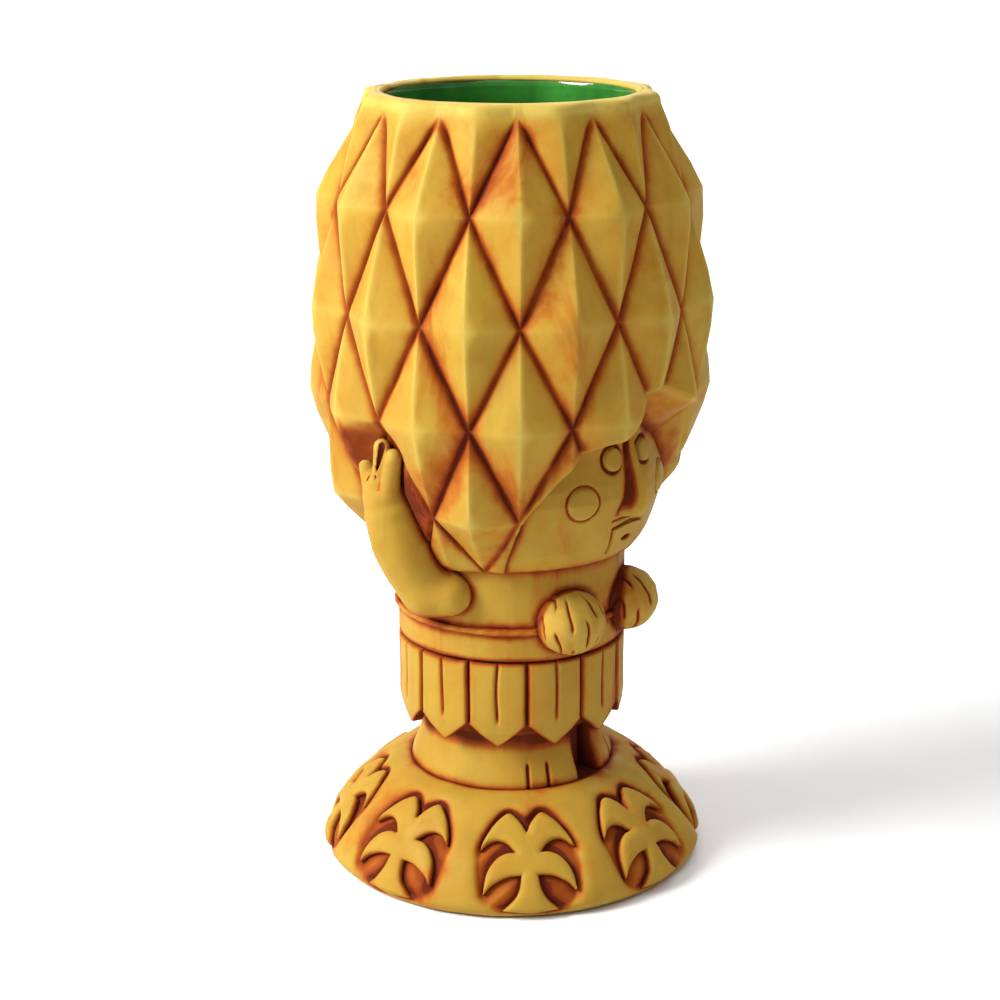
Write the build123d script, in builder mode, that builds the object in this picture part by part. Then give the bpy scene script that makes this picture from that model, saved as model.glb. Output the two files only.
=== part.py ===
from build123d import *
import os
from math import cos, hypot, radians, sin

os.makedirs("parts", exist_ok=True)

# A tall ceramic tiki mug: a figure whose pineapple-shaped hair is the cup, standing on a
# domed island ringed with palm trees. The fired body is one piece of clay; here it is kept
# as the vessel and the relief pieces it is built up from.
# Frame: millimetres, +Z up, origin at the middle of the foot, the figure faces -Y.
# A bearing is measured in degrees round the mug from the front, towards +X.

# Vessel: outside of the plain wall and inside of the cavity, as (radius, height)
total_height = 210.0
seam_height = 26.5
lip_rounding = 1.0
vessel_outside = [
    (21.0, seam_height), (21.0, 40.5), (28.3, 47.0), (28.3, 64.0), (31.0, 64.0),
    (31.0, 89.5), (32.5, 98.0), (35.0, 105.0), (35.6, 119.0), (36.6, 130.0),
    (40.5, 141.0), (44.4, 150.0), (46.2, 157.0), (45.2, 168.0), (42.8, 184.0),
    (38.8, 197.0), (36.4, 207.0), (36.4, total_height),
]
cavity_side = [
    (17.5, seam_height), (17.5, 41.5), (25.0, 48.5), (25.0, 63.0), (27.2, 68.0),
    (27.2, 89.5), (28.6, 98.0), (31.0, 105.0), (31.8, 119.0), (33.0, 130.0),
    (37.0, 141.0), (41.0, 150.0), (42.8, 157.0), (41.8, 168.0), (39.4, 184.0),
    (35.4, 197.0), (33.05, 205.0), (33.05, total_height),
]
glaze_thickness = 0.6
glaze_top = 208.8

# Pineapple hair: rows of diamond facets between groove crossings and raised peaks
column_count = 24
column_pitch = 360.0 / column_count
hair_twist = -2.6
row_heights = [207.0, 183.8, 156.9, 131.5, 106.4, 89.5]
crossing_radii = [37.6, 45.7, 49.3, 50.2, 44.2, 33.5]
peak_radii = [39.7, 49.9, 55.1, 54.7, 50.1, 35.5]

# Window in the hair that the face looks out of, seen from the front, as (half width, height)
parting_point = (-3.0, 142.0)
hairline = [
    (11.2, 138.0), (13.2, 133.0), (19.2, 127.5), (25.0, 123.5), (28.9, 115.2),
    (32.2, 107.0), (31.0, 99.7), (27.7, 89.5),
]

# Face
face_outside = [
    (31.6, 89.5), (34.2, 90.2), (37.3, 95.0), (39.3, 101.8), (40.9, 108.6),
    (38.6, 119.0), (38.8, 130.0), (41.6, 141.0), (42.6, 143.0),
]
eye_bearing = 9.9
eye_height = 119.2
eye_width = 6.5
eye_tall = 7.3
eye_face = 39.6
cheek_bearing = 25.0
cheek_height = 109.4
cheek_width = 10.0
cheek_face = 41.4
nose_base_height = 103.5
nose_top_height = 127.0
nose_base = [(-6.5, -39.0), (-2.4, -43.4), (2.4, -43.4), (6.5, -39.0), (0.0, -33.0)]
nose_top = [(-2.0, -37.0), (-1.0, -40.4), (1.0, -40.4), (2.0, -37.0), (0.0, -34.0)]
mouth_top = 99.5
mouth_bottom = 92.6
mouth_top_width = 12.4
mouth_bottom_width = 11.2
mouth_face = 40.3
mouth_slit_height = 95.9
mouth_slit_width = 4.4
mouth_slit_tall = 1.2

# Arms, as (bearing, radius, height) of the limb's middle line from hand to elbow
arm_line = [
    (102.0, 42.5, 112.0), (98.0, 42.5, 107.0), (96.5, 41.0, 100.0), (96.0, 38.0, 93.0),
    (91.0, 33.5, 85.3),
]
arm_radius = 8.5
finger_bearings = [91.5, 99.5, 108.0]
finger_tips = [118.5, 120.5, 116.5]
finger_root = 108.0
finger_radius = 3.4
finger_ring = 45.5

# Coconut shells and the string that ties them on
coconut_bearing = 23.0
coconut_height = 74.3
coconut_centre = 31.8
coconut_radius = 9.2
string_height = 72.5
string_thickness = 1.9
string_ring = 31.2

# Leaf skirt
blade_count = 12
blade_pitch = 360.0 / blade_count
blade_top = 63.3
blade_notch = 46.8
blade_tip = 40.5
blade_half_width = 7.15
blade_vein_bottom = 46.5
blade_vein_width = 1.0
blade_vein_depth = 1.3
skirt_section = [
    (28.3, blade_top), (31.0, blade_top), (31.0, 47.0), (30.2, 42.5), (28.5, 38.8),
    (26.5, 38.8), (27.4, 43.5), (28.3, 47.0),
]

# Legs and feet
leg_section = [
    (21.0, seam_height), (28.2, seam_height), (28.2, 30.0), (25.8, 33.0), (24.6, 36.0),
    (24.4, 40.5), (21.0, 40.5),
]
foot_gap_bearing = 10.0
toe_bearings = [29.1, 41.2]
toe_cut_width = 1.0
toe_cut_depth = 2.0
toe_cut_top = 32.0
toe_cut_floor = 26.2

# Island base: the dome's outside, from the foot up, and its hollow
foot_radius = 49.0
dome_outside = [
    (foot_radius, 0.0), (51.4, 1.2), (52.3, 3.2), (51.4, 6.3), (49.3, 10.0), (46.1, 14.0),
    (42.0, 18.0), (37.3, 22.0), (32.4, 25.4), (28.2, seam_height),
]
dome_hollow = [
    (17.5, seam_height), (17.5, 24.0), (26.0, 22.4), (31.5, 20.2), (36.5, 17.0),
    (40.8, 13.6), (44.3, 9.6), (45.0, 7.2), (43.0, 5.0),
]
foot_ring_inner = 42.0
foot_recess = 1.5

# Palm trees in low relief on the dome, as (bearing from the trunk, height) down the right side
palm_count = 8
palm_pitch = 360.0 / palm_count
palm_relief = 1.1
palm_tilt = 38.0
palm_middle = (46.0, 13.5)
palm_outline = [
    (0.0, 19.8), (3.5, 22.4), (7.4, 22.8), (13.0, 20.6), (16.5, 16.6), (13.6, 17.8),
    (10.0, 18.0), (4.6, 16.0), (10.0, 15.2), (13.4, 12.4), (14.0, 7.2), (10.5, 10.0),
    (2.6, 11.4), (4.4, 7.0), (8.0, 3.6),
]

# Lengths that only have to reach right through a piece
cutter_length = 5.0
disc_length = 6.0
mouth_length = 12.0
palm_reach = 12.0
blade_reach = 15.0
blade_start = 20.0
leg_reach = 20.0
far_away = 60.0
panel_inner_radius = 20.0
window_bottom = 88.0


def around(radius, bearing, height):
    """Point at a radius and bearing round the mug's axis."""
    angle = radians(bearing)
    return (radius * sin(angle), -radius * cos(angle), height)


def outward_plane(bearing, radius, height):
    """Plane that faces outwards at a bearing, with its Y axis up."""
    angle = radians(bearing)
    return Plane(origin=around(radius, bearing, height), x_dir=(cos(angle), sin(angle), 0),
                 z_dir=(sin(angle), -cos(angle), 0))


def dome_radius(height):
    """Radius of the dome's outside at a height."""
    for (lower_r, lower_z), (upper_r, upper_z) in zip(dome_outside, dome_outside[1:]):
        if lower_z <= height <= upper_z:
            return lower_r + (upper_r - lower_r) * (height - lower_z) / (upper_z - lower_z)
    return dome_outside[-1][0]


def inset(outline, distance):
    """Copy of an open outline moved to its left by a distance, with mitred corners."""
    normals = []
    for (start_r, start_z), (end_r, end_z) in zip(outline, outline[1:]):
        length = hypot(end_r - start_r, end_z - start_z)
        normals.append(((start_z - end_z) / length, (end_r - start_r) / length))
    moved = []
    before = normals[:1] + normals
    after = normals + normals[-1:]
    for (r, z), (first_r, first_z), (next_r, next_z) in zip(outline, before, after):
        mitre = distance / (1 + first_r * next_r + first_z * next_z)
        moved.append((r + mitre * (first_r + next_r), z + mitre * (first_z + next_z)))
    return moved


def save(piece, name):
    """Label a finished piece and write it as its own STEP file."""
    piece.part.label = name
    export_step(piece.part, f"parts/{name}.step")


# Vessel: one watertight tube from the lip down to the seam on the island base
with BuildPart() as vessel_body:
    with BuildSketch(Plane.XZ):
        with BuildLine():
            Polyline((0, seam_height), *vessel_outside, (0, total_height), close=True)
        make_face()
    revolve(axis=Axis.Z)

with BuildPart() as cup_vessel:
    with BuildSketch(Plane.XZ) as vessel_section:
        with BuildLine():
            Polyline(*vessel_outside, *reversed(cavity_side), close=True)
        make_face()
        fillet(vessel_section.vertices().group_by(Axis.Y)[-1], lip_rounding)
    revolve(axis=Axis.Z)
save(cup_vessel, "cup_vessel")

# Green glaze: a skin over the whole cavity, open at the mouth
cavity_line = [
    (0.0, dome_hollow[-1][1]), *reversed(dome_hollow), *cavity_side[1:-1],
    (cavity_side[-1][0], glaze_top),
]
with BuildPart() as glaze_lining:
    with BuildSketch(Plane.XZ):
        with BuildLine():
            Polyline(*cavity_line, *reversed(inset(cavity_line, glaze_thickness)), close=True)
        make_face()
    revolve(axis=Axis.Z)
save(glaze_lining, "glaze_lining")

# Window prism through the hair, in front of the axis
with BuildPart() as face_window:
    with BuildSketch(Plane.XZ):
        with BuildLine():
            right_side = hairline + [(hairline[-1][0], window_bottom)]
            left_side = [(-half_width, height) for half_width, height in reversed(right_side)]
            Polyline(parting_point, *right_side, *left_side, close=True)
        make_face()
    extrude(amount=far_away)

with BuildPart() as face_panel:
    with BuildSketch(Plane.XZ):
        with BuildLine():
            Polyline((panel_inner_radius, face_outside[0][1]), *face_outside,
                     (panel_inner_radius, face_outside[-1][1]), close=True)
        make_face()
    revolve(axis=Axis.Z)
    add(face_window.part, mode=Mode.INTERSECT)
    add(vessel_body.part, mode=Mode.SUBTRACT)
save(face_panel, "face_panel")


# Arms: rounded limbs in high relief with raised fingers dug into the hair
def make_arm(side):
    """Arm on the -X side (side -1) or the +X side (side +1)."""
    line_points = [around(radius, side * bearing, height) for bearing, radius, height in arm_line]
    with BuildPart() as arm:
        with BuildLine() as limb_line:
            Spline(*line_points)
        with BuildSketch(Plane(origin=limb_line.line @ 0, z_dir=limb_line.line % 0)):
            Circle(arm_radius)
        sweep()
        for end in (line_points[0], line_points[-1]):
            with Locations(end):
                Sphere(arm_radius)
        for bearing, tip in zip(finger_bearings, finger_tips):
            with Locations(around(finger_ring, side * bearing, finger_root)):
                Cylinder(finger_radius, tip - finger_root, align=(Align.CENTER, Align.CENTER, Align.MIN))
            with Locations(around(finger_ring, side * bearing, tip)):
                Sphere(finger_radius)
        add(vessel_body.part, mode=Mode.SUBTRACT)
    return arm


right_arm = make_arm(-1)
save(right_arm, "right_arm")
left_arm = make_arm(1)
save(left_arm, "left_arm")


# Hair: a closed body of flat triangles, hollowed to fit over the vessel
def hair_corner(row, column):
    """Peak or groove crossing of the diamond lattice."""
    is_peak = (row + column) % 2 == 0
    radius = peak_radii[row] if is_peak else crossing_radii[row]
    return around(radius, hair_twist + column * column_pitch, row_heights[row])


def facet(*corners):
    return Face(Wire.make_polygon(corners, close=True))


last_row = len(row_heights) - 1
top_rim = [hair_corner(0, column) for column in range(column_count)]
bottom_rim = [hair_corner(last_row, column) for column in range(column_count)]
facets = [facet(*top_rim), facet(*bottom_rim)]
for row in range(last_row):
    for column in range(column_count):
        top_left = hair_corner(row, column)
        top_right = hair_corner(row, column + 1)
        bottom_left = hair_corner(row + 1, column)
        bottom_right = hair_corner(row + 1, column + 1)
        if (row + column) % 2 == 0:
            facets.append(facet(top_left, top_right, bottom_left))
            facets.append(facet(top_right, bottom_right, bottom_left))
        else:
            facets.append(facet(top_left, top_right, bottom_right))
            facets.append(facet(top_left, bottom_right, bottom_left))
lattice_solid = Solid(Shell(facets))

with BuildPart() as pineapple_hair:
    add(lattice_solid)
    add(vessel_body.part, mode=Mode.SUBTRACT)
    add(face_window.part, mode=Mode.SUBTRACT)
    add(right_arm.part, mode=Mode.SUBTRACT)
    add(left_arm.part, mode=Mode.SUBTRACT)
save(pineapple_hair, "pineapple_hair")


# Face details, each a sprig standing on the face panel
def make_disc(side, bearing, height, face_distance, width, tall):
    with BuildPart() as disc:
        with BuildSketch(outward_plane(side * bearing, face_distance, height)):
            Ellipse(width / 2, tall / 2)
        extrude(amount=-disc_length)
        add(face_panel.part, mode=Mode.SUBTRACT)
        add(vessel_body.part, mode=Mode.SUBTRACT)
    return disc


for side, name in ((-1, "right"), (1, "left")):
    eye = make_disc(side, eye_bearing, eye_height, eye_face, eye_width, eye_tall)
    save(eye, f"{name}_eye")
    cheek = make_disc(side, cheek_bearing, cheek_height, cheek_face, cheek_width, cheek_width)
    save(cheek, f"{name}_cheek")

with BuildPart() as nose:
    with BuildSketch(Plane.XY.offset(nose_base_height)):
        with BuildLine():
            Polyline(*nose_base, close=True)
        make_face()
    with BuildSketch(Plane.XY.offset(nose_top_height)):
        with BuildLine():
            Polyline(*nose_top, close=True)
        make_face()
    loft()
    add(face_panel.part, mode=Mode.SUBTRACT)
    add(vessel_body.part, mode=Mode.SUBTRACT)
save(nose, "nose")

with BuildPart() as mouth_plate:
    with BuildSketch(Plane.XZ.offset(mouth_face)):
        with BuildLine():
            Polyline((-mouth_bottom_width / 2, mouth_bottom), (mouth_bottom_width / 2, mouth_bottom),
                     (mouth_top_width / 2, mouth_top), (-mouth_top_width / 2, mouth_top), close=True)
        make_face()
        with Locations((0, mouth_slit_height)):
            Ellipse(mouth_slit_width / 2, mouth_slit_tall / 2, mode=Mode.SUBTRACT)
    extrude(amount=-mouth_length)
    add(face_panel.part, mode=Mode.SUBTRACT)
    add(vessel_body.part, mode=Mode.SUBTRACT)
save(mouth_plate, "mouth_plate")

# Coconut shells and string
with BuildPart() as left_coconut:
    with Locations(around(coconut_centre, coconut_bearing, coconut_height)):
        Sphere(coconut_radius)
    add(vessel_body.part, mode=Mode.SUBTRACT)
save(left_coconut, "left_coconut")

with BuildPart() as right_coconut:
    add(mirror(left_coconut.part, about=Plane.YZ))
save(right_coconut, "right_coconut")

with BuildPart() as chest_string:
    with BuildSketch(Plane.XZ):
        with Locations((string_ring, string_height)):
            Circle(string_thickness / 2)
    revolve(axis=Axis.Z)
    add(vessel_body.part, mode=Mode.SUBTRACT)
    add(right_coconut.part, mode=Mode.SUBTRACT)
    add(left_coconut.part, mode=Mode.SUBTRACT)
save(chest_string, "chest_string")

# Leaf skirt: pointed blades side by side, each with a cut vein
with BuildPart() as skirt_ring:
    with BuildSketch(Plane.XZ):
        with BuildLine():
            Polyline(*skirt_section, close=True)
        make_face()
    revolve(axis=Axis.Z)

for blade_number in range(blade_count):
    blade_bearing = blade_number * blade_pitch
    with BuildPart() as skirt_blade:
        with BuildSketch(outward_plane(blade_bearing, blade_start, 0)):
            with BuildLine():
                Polyline((-blade_half_width, blade_notch), (0, blade_tip),
                         (blade_half_width, blade_notch), (blade_half_width, blade_top),
                         (-blade_half_width, blade_top), close=True)
            make_face()
        extrude(amount=blade_reach)
        add(skirt_ring.part, mode=Mode.INTERSECT)
        with BuildSketch(outward_plane(blade_bearing, skirt_section[1][0] - blade_vein_depth, 0)):
            with Locations((0, blade_vein_bottom)):
                Rectangle(blade_vein_width, blade_top, align=(Align.CENTER, Align.MIN))
        extrude(amount=cutter_length, mode=Mode.SUBTRACT)
    save(skirt_blade, f"skirt_blade_{blade_number + 1:02d}")


# Legs: a half ring each side, open between the feet, with toe cuts
def make_leg(side):
    """Half ring of leg and foot, from the gap in front to the middle of the back."""
    with BuildPart() as leg:
        with BuildSketch(Plane.XZ):
            with BuildLine():
                Polyline(*leg_section, close=True)
            make_face()
        revolve(axis=Axis.Z)
        with BuildSketch(Plane.XY.offset(seam_height)):
            with BuildLine():
                Polyline((0, 0), around(far_away, side * foot_gap_bearing, 0)[:2],
                         (side * far_away, -far_away), (side * far_away, far_away),
                         (0, far_away), close=True)
            make_face()
        extrude(amount=leg_reach, mode=Mode.INTERSECT)
        for bearing in toe_bearings:
            toe_floor_radius = leg_section[1][0] - toe_cut_depth
            with BuildSketch(outward_plane(side * bearing, toe_floor_radius, toe_cut_floor)):
                Rectangle(toe_cut_width, toe_cut_top - toe_cut_floor, align=(Align.CENTER, Align.MIN))
            extrude(amount=cutter_length, mode=Mode.SUBTRACT)
    return leg


save(make_leg(-1), "right_leg")
save(make_leg(1), "left_leg")

# Island base: hollow dome with a floor and a foot ring
with BuildPart() as base_dome:
    with BuildSketch(Plane.XZ):
        with BuildLine():
            Polyline((0, foot_recess), (foot_ring_inner, foot_recess), (foot_ring_inner, 0),
                     *dome_outside, *dome_hollow, (0, dome_hollow[-1][1]), close=True)
        make_face()
    revolve(axis=Axis.Z)
save(base_dome, "base_dome")

# Palm trees: the outline is cast on the dome along a slanting line and kept as a thin layer
with BuildPart() as palm_layer:
    with BuildSketch(Plane.XZ):
        with BuildLine():
            Polyline(*dome_outside, *reversed(inset(dome_outside, -palm_relief)), close=True)
        make_face()
    revolve(axis=Axis.Z)


def palm_point(bearing, height, side):
    """Outline point laid on the slanting plane, in that plane's coordinates."""
    radius = dome_radius(height)
    across = side * radius * sin(radians(bearing))
    outward = radius * cos(radians(bearing)) - palm_middle[0]
    rise = (height - palm_middle[1]) * cos(radians(palm_tilt)) - outward * sin(radians(palm_tilt))
    return (across, rise)


right_half = [palm_point(bearing, height, 1) for bearing, height in palm_outline]
left_half = [palm_point(bearing, height, -1) for bearing, height in reversed(palm_outline[1:])]
for palm_number in range(palm_count):
    angle = radians(palm_number * palm_pitch)
    slant = radians(palm_tilt)
    palm_plane = Plane(origin=around(palm_middle[0], palm_number * palm_pitch, palm_middle[1]),
                       x_dir=(cos(angle), sin(angle), 0),
                       z_dir=(sin(angle) * cos(slant), -cos(angle) * cos(slant), sin(slant)))
    with BuildPart() as palm_tree:
        with BuildSketch(palm_plane):
            with BuildLine():
                Polyline(*right_half, *left_half, close=True)
            make_face()
        extrude(amount=palm_reach, both=True)
        add(palm_layer.part, mode=Mode.INTERSECT)
    save(palm_tree, f"palm_tree_{palm_number + 1}")
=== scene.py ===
import math

import bmesh
import bpy
import numpy as np
import openvdb
from mathutils import Matrix, Vector
from mathutils.bvhtree import BVHTree


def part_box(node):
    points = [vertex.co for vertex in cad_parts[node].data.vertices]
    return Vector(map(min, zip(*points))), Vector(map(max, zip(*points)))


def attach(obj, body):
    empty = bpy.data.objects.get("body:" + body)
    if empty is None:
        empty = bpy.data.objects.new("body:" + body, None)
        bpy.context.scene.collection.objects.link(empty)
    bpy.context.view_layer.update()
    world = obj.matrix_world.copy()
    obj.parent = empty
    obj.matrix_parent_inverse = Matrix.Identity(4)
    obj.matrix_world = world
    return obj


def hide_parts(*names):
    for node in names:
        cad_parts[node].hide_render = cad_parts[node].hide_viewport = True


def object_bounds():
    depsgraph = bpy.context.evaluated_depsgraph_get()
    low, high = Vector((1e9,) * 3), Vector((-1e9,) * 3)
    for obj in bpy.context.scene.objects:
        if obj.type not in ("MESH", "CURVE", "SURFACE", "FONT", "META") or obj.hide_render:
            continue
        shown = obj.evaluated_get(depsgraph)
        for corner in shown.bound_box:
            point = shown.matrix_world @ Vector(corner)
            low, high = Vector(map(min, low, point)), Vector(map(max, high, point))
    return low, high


# Looks of the ceramic tiki mug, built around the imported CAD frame.
# Shapes are worked out in millimetres and bearings in degrees, as in the CAD model: +Z is up,
# the figure faces -Y, and a bearing runs from the front towards +X. Blender objects are in metres.

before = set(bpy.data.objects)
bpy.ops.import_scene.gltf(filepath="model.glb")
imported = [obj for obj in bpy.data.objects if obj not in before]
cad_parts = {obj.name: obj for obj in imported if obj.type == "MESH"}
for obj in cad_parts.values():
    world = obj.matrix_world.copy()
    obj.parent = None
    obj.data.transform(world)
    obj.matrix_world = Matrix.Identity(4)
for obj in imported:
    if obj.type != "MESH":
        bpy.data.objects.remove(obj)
cad_low, cad_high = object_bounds()
METRE = 0.001
UP = np.array([0.0, 0.0, 1.0])


def box_mm(node):
    """Lowest and highest corner of a CAD node, in millimetres."""
    low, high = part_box(node)
    return np.array(low) / METRE, np.array(high) / METRE


# ---------------------------------------------------------------- sizes, millimetres
TOP = cad_high[2] / METRE
HAIR_LOW = box_mm("pineapple_hair")[0][2]
TORSO_RADIUS = -box_mm("skirt_blade_01")[0][1]
SKIRT_LOW, SKIRT_TOP = box_mm("skirt_blade_01")[0][2], box_mm("skirt_blade_01")[1][2]
STRING_Z = (box_mm("chest_string")[0][2] + box_mm("chest_string")[1][2]) / 2
SEAM = box_mm("base_dome")[1][2]
LEG_TOP = box_mm("left_leg")[1][2]

# Hair lattice: rows of groove crossings and facet peaks
COLUMNS = 24
HAIR_TWIST = -2.6
ROW_Z = (207.0, 183.8, 156.9, 131.5, 106.4, HAIR_LOW)
CROSSING_R = (36.9, 46.4, 49.4, 50.2, 44.2, 33.5)
PEAK_R = (40.4, 51.6, 55.0, 54.6, 50.2, 35.5)
GROOVE_DEPTH, GROOVE_WIDTH = 0.8, 0.85
# Usual distances over a facet: from its groove, its upright ridge and its level ridge
FACET_SPANS = (12.0, 12.0, 22.0)
# Facets behind the hands, as (row, column), with the radius of their sunk peaks
BEHIND_HANDS, HAND_HOLLOW_R = ((4, 6), (4, 18)), 42.0
# Middle of the painted shadow of each hand on the hair above it, as (bearing, height)
HAND_SHADE = (104.0, 121.0)
LIP_R = 34.4
# Mean radii at which the hair round the face and beside the arms is laid flat
HAIR_FLAT_R, ARM_FLAT_R = 47.0, 42.0

# Hairline round the face on each side, from the parting down to the chin, as (bearing, height)
RIGHT_HAIRLINE = (
    (-1.3, 139.2), (-5.2, 137.2), (-7.6, 135.4), (-9.6, 132.8), (-12.0, 130.2), (-15.0, 128.0),
    (-22.6, 126.2), (-29.0, 123.8), (-33.5, 119.9), (-36.6, 116.9), (-39.6, 113.4), (-43.0, 110.0),
    (-46.4, 106.0), (-49.6, 99.5), (-52.4, 93.4), (-53.6, 88.0),
)
LEFT_HAIRLINE = (
    (-1.3, 139.2), (6.0, 136.4), (15.0, 132.2), (24.0, 129.4), (30.5, 126.8), (33.8, 122.8),
    (37.0, 118.6), (41.0, 113.4), (45.5, 107.6), (49.6, 99.9), (52.4, 93.4), (53.6, 88.0),
)
# How far the hair's cut edge drops from the front of the hair to the face
HAIRLINE_SLOPE = 8.5

# Profiles as (radius, height)
HIPS_WALL = (
    (21.0, SEAM), (21.0, 38.5), (24.2, 40.5), (27.2, 43.0), (29.0, 46.5), (29.3, 55.0), (29.3, 63.6),
    (29.4, 64.0), (30.5, 64.0), (31.0, 64.4),
)
CUP_WALL = (
    (31.0, 70.0), (31.0, 78.0), (31.0, 89.5), (32.3, 98.0), (34.8, 105.0), (35.4, 119.0), (36.4, 130.0),
    (40.2, 141.0), (44.0, 150.0), (45.8, 157.0), (44.9, 168.0), (42.4, 184.0), (38.4, 197.0),
    (36.2, 205.0), (35.0, 208.9),
)
CUP_LIP = ((LIP_R, TOP - 0.05), (33.5, 209.9), (32.8, 209.4), (32.5, 208.6))
BEHIND_HAIR = CUP_WALL + CUP_LIP
NECK_R = 17.5
CAVITY = (
    (NECK_R, 24.0), (NECK_R, 30.0), (NECK_R, 41.5), (20.0, 45.2), (25.0, 49.5), (25.2, 62.0), (27.2, 68.5),
    (27.2, 80.0), (27.2, 89.5), (28.6, 98.0), (30.9, 106.0), (31.8, 119.0), (33.2, 130.0), (37.0, 141.0),
    (41.0, 150.0), (42.8, 158.0), (41.8, 168.0), (39.4, 184.0), (35.4, 197.0), (33.3, 203.0), (33.05, 208.8),
)
DOME = (
    (49.0, 0.0), (50.6, 0.5), (51.9, 1.6), (52.7, 3.4), (51.9, 6.6), (49.8, 10.3), (46.6, 14.4),
    (42.4, 18.5), (37.6, 22.5), (33.4, 25.2), (30.4, 26.3), (28.6, 26.5), (27.6, 26.0),
)
DOME_HOLLOW = (
    (NECK_R, 24.0), (26.0, 22.4), (31.5, 20.2), (36.5, 17.0), (40.8, 13.6), (44.3, 9.6), (45.0, 7.2),
    (43.0, 5.0),
)
FOOT_RING_R, FOOT_RECESS = 42.0, 1.5
FACE = (
    (30.6, 89.4), (32.6, 89.5), (33.8, 90.0), (34.6, 91.0), (35.9, 92.8), (37.3, 95.2), (38.5, 98.5),
    (39.5, 102.0), (40.4, 105.4), (40.9, 108.6), (40.4, 112.5), (39.2, 116.5), (38.4, 120.0), (38.2, 125.0),
    (38.6, 131.0), (40.2, 137.0), (42.0, 143.0),
)
LEG = (
    (24.6, LEG_TOP + 1.0), (24.7, 38.0), (25.1, 35.5), (25.8, 33.0), (26.7, 30.6), (27.6, 28.4),
    (28.1, 26.0),
)
SKIRT = ((31.0, 70.0), (31.0, 50.0), (31.0, 46.5), (30.7, 43.5), (30.1, 41.0), (29.5, 38.0))

# Face details. The whole face is turned from the front, and laid flat at a mean radius
FACE_TURN, FACE_R = 1.6, 39.0
# Eye and cheek, as (bearing from the middle of the face, height, half width, half height)
EYE = (9.9, 118.8, 3.1, 3.1)
CHEEK = (25.0, 108.9, 4.3, 4.3)
# Nose, as (height, half width, how far its ridge stands out)
NOSE_BASE_Z, NOSE_TOP_Z = 103.2, 127.0
NOSE = (
    (NOSE_TOP_Z, 1.0, 1.0), (122.0, 1.3, 2.0), (118.0, 1.7, 2.8), (114.0, 2.3, 3.4), (110.0, 3.3, 3.9),
    (106.5, 4.8, 4.1), (104.2, 6.2, 3.9), (NOSE_BASE_Z, 6.5, 2.8),
)
MOUTH_TOP_Z, MOUTH_LOW_Z, MOUTH_HALF, MOUTH_TAPER, MOUTH_BOW = 99.7, 92.0, 5.9, 0.6, 0.9
LIPS_Z, LIPS_HALF, LIPS_OPEN = 95.9, 2.3, 0.62

# Arm: middle line from hand to elbow and the short upper arm, as (bearing, radius, height, thickness)
FOREARM = (
    (100.6, 42.8, 111.5, 4.9), (99.8, 42.6, 108.5, 6.0), (98.0, 41.6, 103.0, 7.2), (96.5, 39.2, 95.0, 7.8),
    (93.5, 35.6, 87.0, 7.5), (90.5, 33.6, 83.0, 7.2),
)
UPPER_ARM = ((90.0, 33.6, 83.0, 7.0), (80.0, 32.6, 82.3, 5.8))
# Fingers, as (bearing at the knuckle, bearing at the tip, radius at the tip, height at the tip)
FINGERS = ((96.8, 91.2, 45.8, 123.8), (100.2, 95.2, 46.6, 126.0), (104.6, 107.2, 44.6, 119.4))
HAND_END = (96.0, 122.0)
FINGER_R, KNUCKLE_R, KNUCKLE_Z = 2.55, 43.6, 109.0
# Slots between the fingers: how far out their middle lines lie, where they start and how thick they are
SLOT_LIFTS, SLOT_LOW_Z, SLOT_RADII = (3.1, 1.7), 113.5, (0.4, 0.75)

# Coconuts, measured from the middle of the face, and the string that holds them
COCONUT_BEARING, COCONUT_R, COCONUT_Z, COCONUT_SIZE = 23.0, 31.8, 74.3, 9.2
STRING_LIFT, STRING_R = 0.15, 0.95

# Skirt of leaves and the legs under it
SKIRT_TURN, BLADES, BLADE_HALF = 2.2, 12, 7.9
BLADE_NOTCH, BLADE_TIP = 45.8, SKIRT_LOW - 0.7
LEG_GAP, LEG_R, LEG_INNER_R = 9.0, 27, 20.4
TOE_BEARINGS, TOE_R = (29.1, 41.2), 27.5

# Palm tree outline, right half, as smooth runs of (bearing from the trunk, height) between corners
PALM_RUNS = (
    ((0.0, 20.0), (2.6, 22.2), (7.0, 23.5), (12.0, 21.8), (15.4, 18.9), (16.7, 16.3)),
    ((16.7, 16.3), (13.6, 18.0), (10.3, 18.5), (7.0, 17.8), (4.4, 16.2)),
    ((4.4, 16.2), (7.8, 16.0), (11.2, 14.6), (13.6, 11.6), (14.3, 6.6)),
    ((14.3, 6.6), (11.6, 9.3), (7.2, 11.1), (2.6, 11.5)),
    ((2.6, 11.5), (3.3, 8.4), (5.2, 5.4), (8.6, 2.6)),
    ((8.6, 2.6), (0.0, 1.7)),
)
PALMS, PALM_DEPTH = 8, 2.1
# Points whose smooth outline encloses a palm, to end the recess round it
PALM_HULL_TIPS = (
    (0.0, 22.3), (7.0, 23.7), (12.0, 22.0), (16.9, 16.3), (14.5, 6.5), (9.0, 2.6), (0.0, 1.6),
)

# Stain in the creases between pieces, and pairs of pieces whose own shapes already hold it
CONTACT_REACH, CONTACT_FADE, CONTACT_STRENGTH = 4.2, 1.25, 1.05
FACE_DETAILS = ("left_eye", "right_eye", "left_cheek", "right_cheek", "nose", "mouth_plate")
NO_CONTACT = [{"base_dome", "palm_tree_%d" % k} for k in range(1, PALMS + 1)]
NO_CONTACT += [{"cup_vessel", "skirt_blade_%02d" % k} for k in range(1, BLADES + 1)]
NO_CONTACT += [{"face_panel", name} for name in FACE_DETAILS]

# Columns of points round each turned or round piece
CUP_COLUMNS, GLAZE_COLUMNS, STRING_COLUMNS, BASE_COLUMNS = 300, 240, 500, 620
DISC_COLUMNS, COCONUT_COLUMNS = 72, 150


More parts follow.
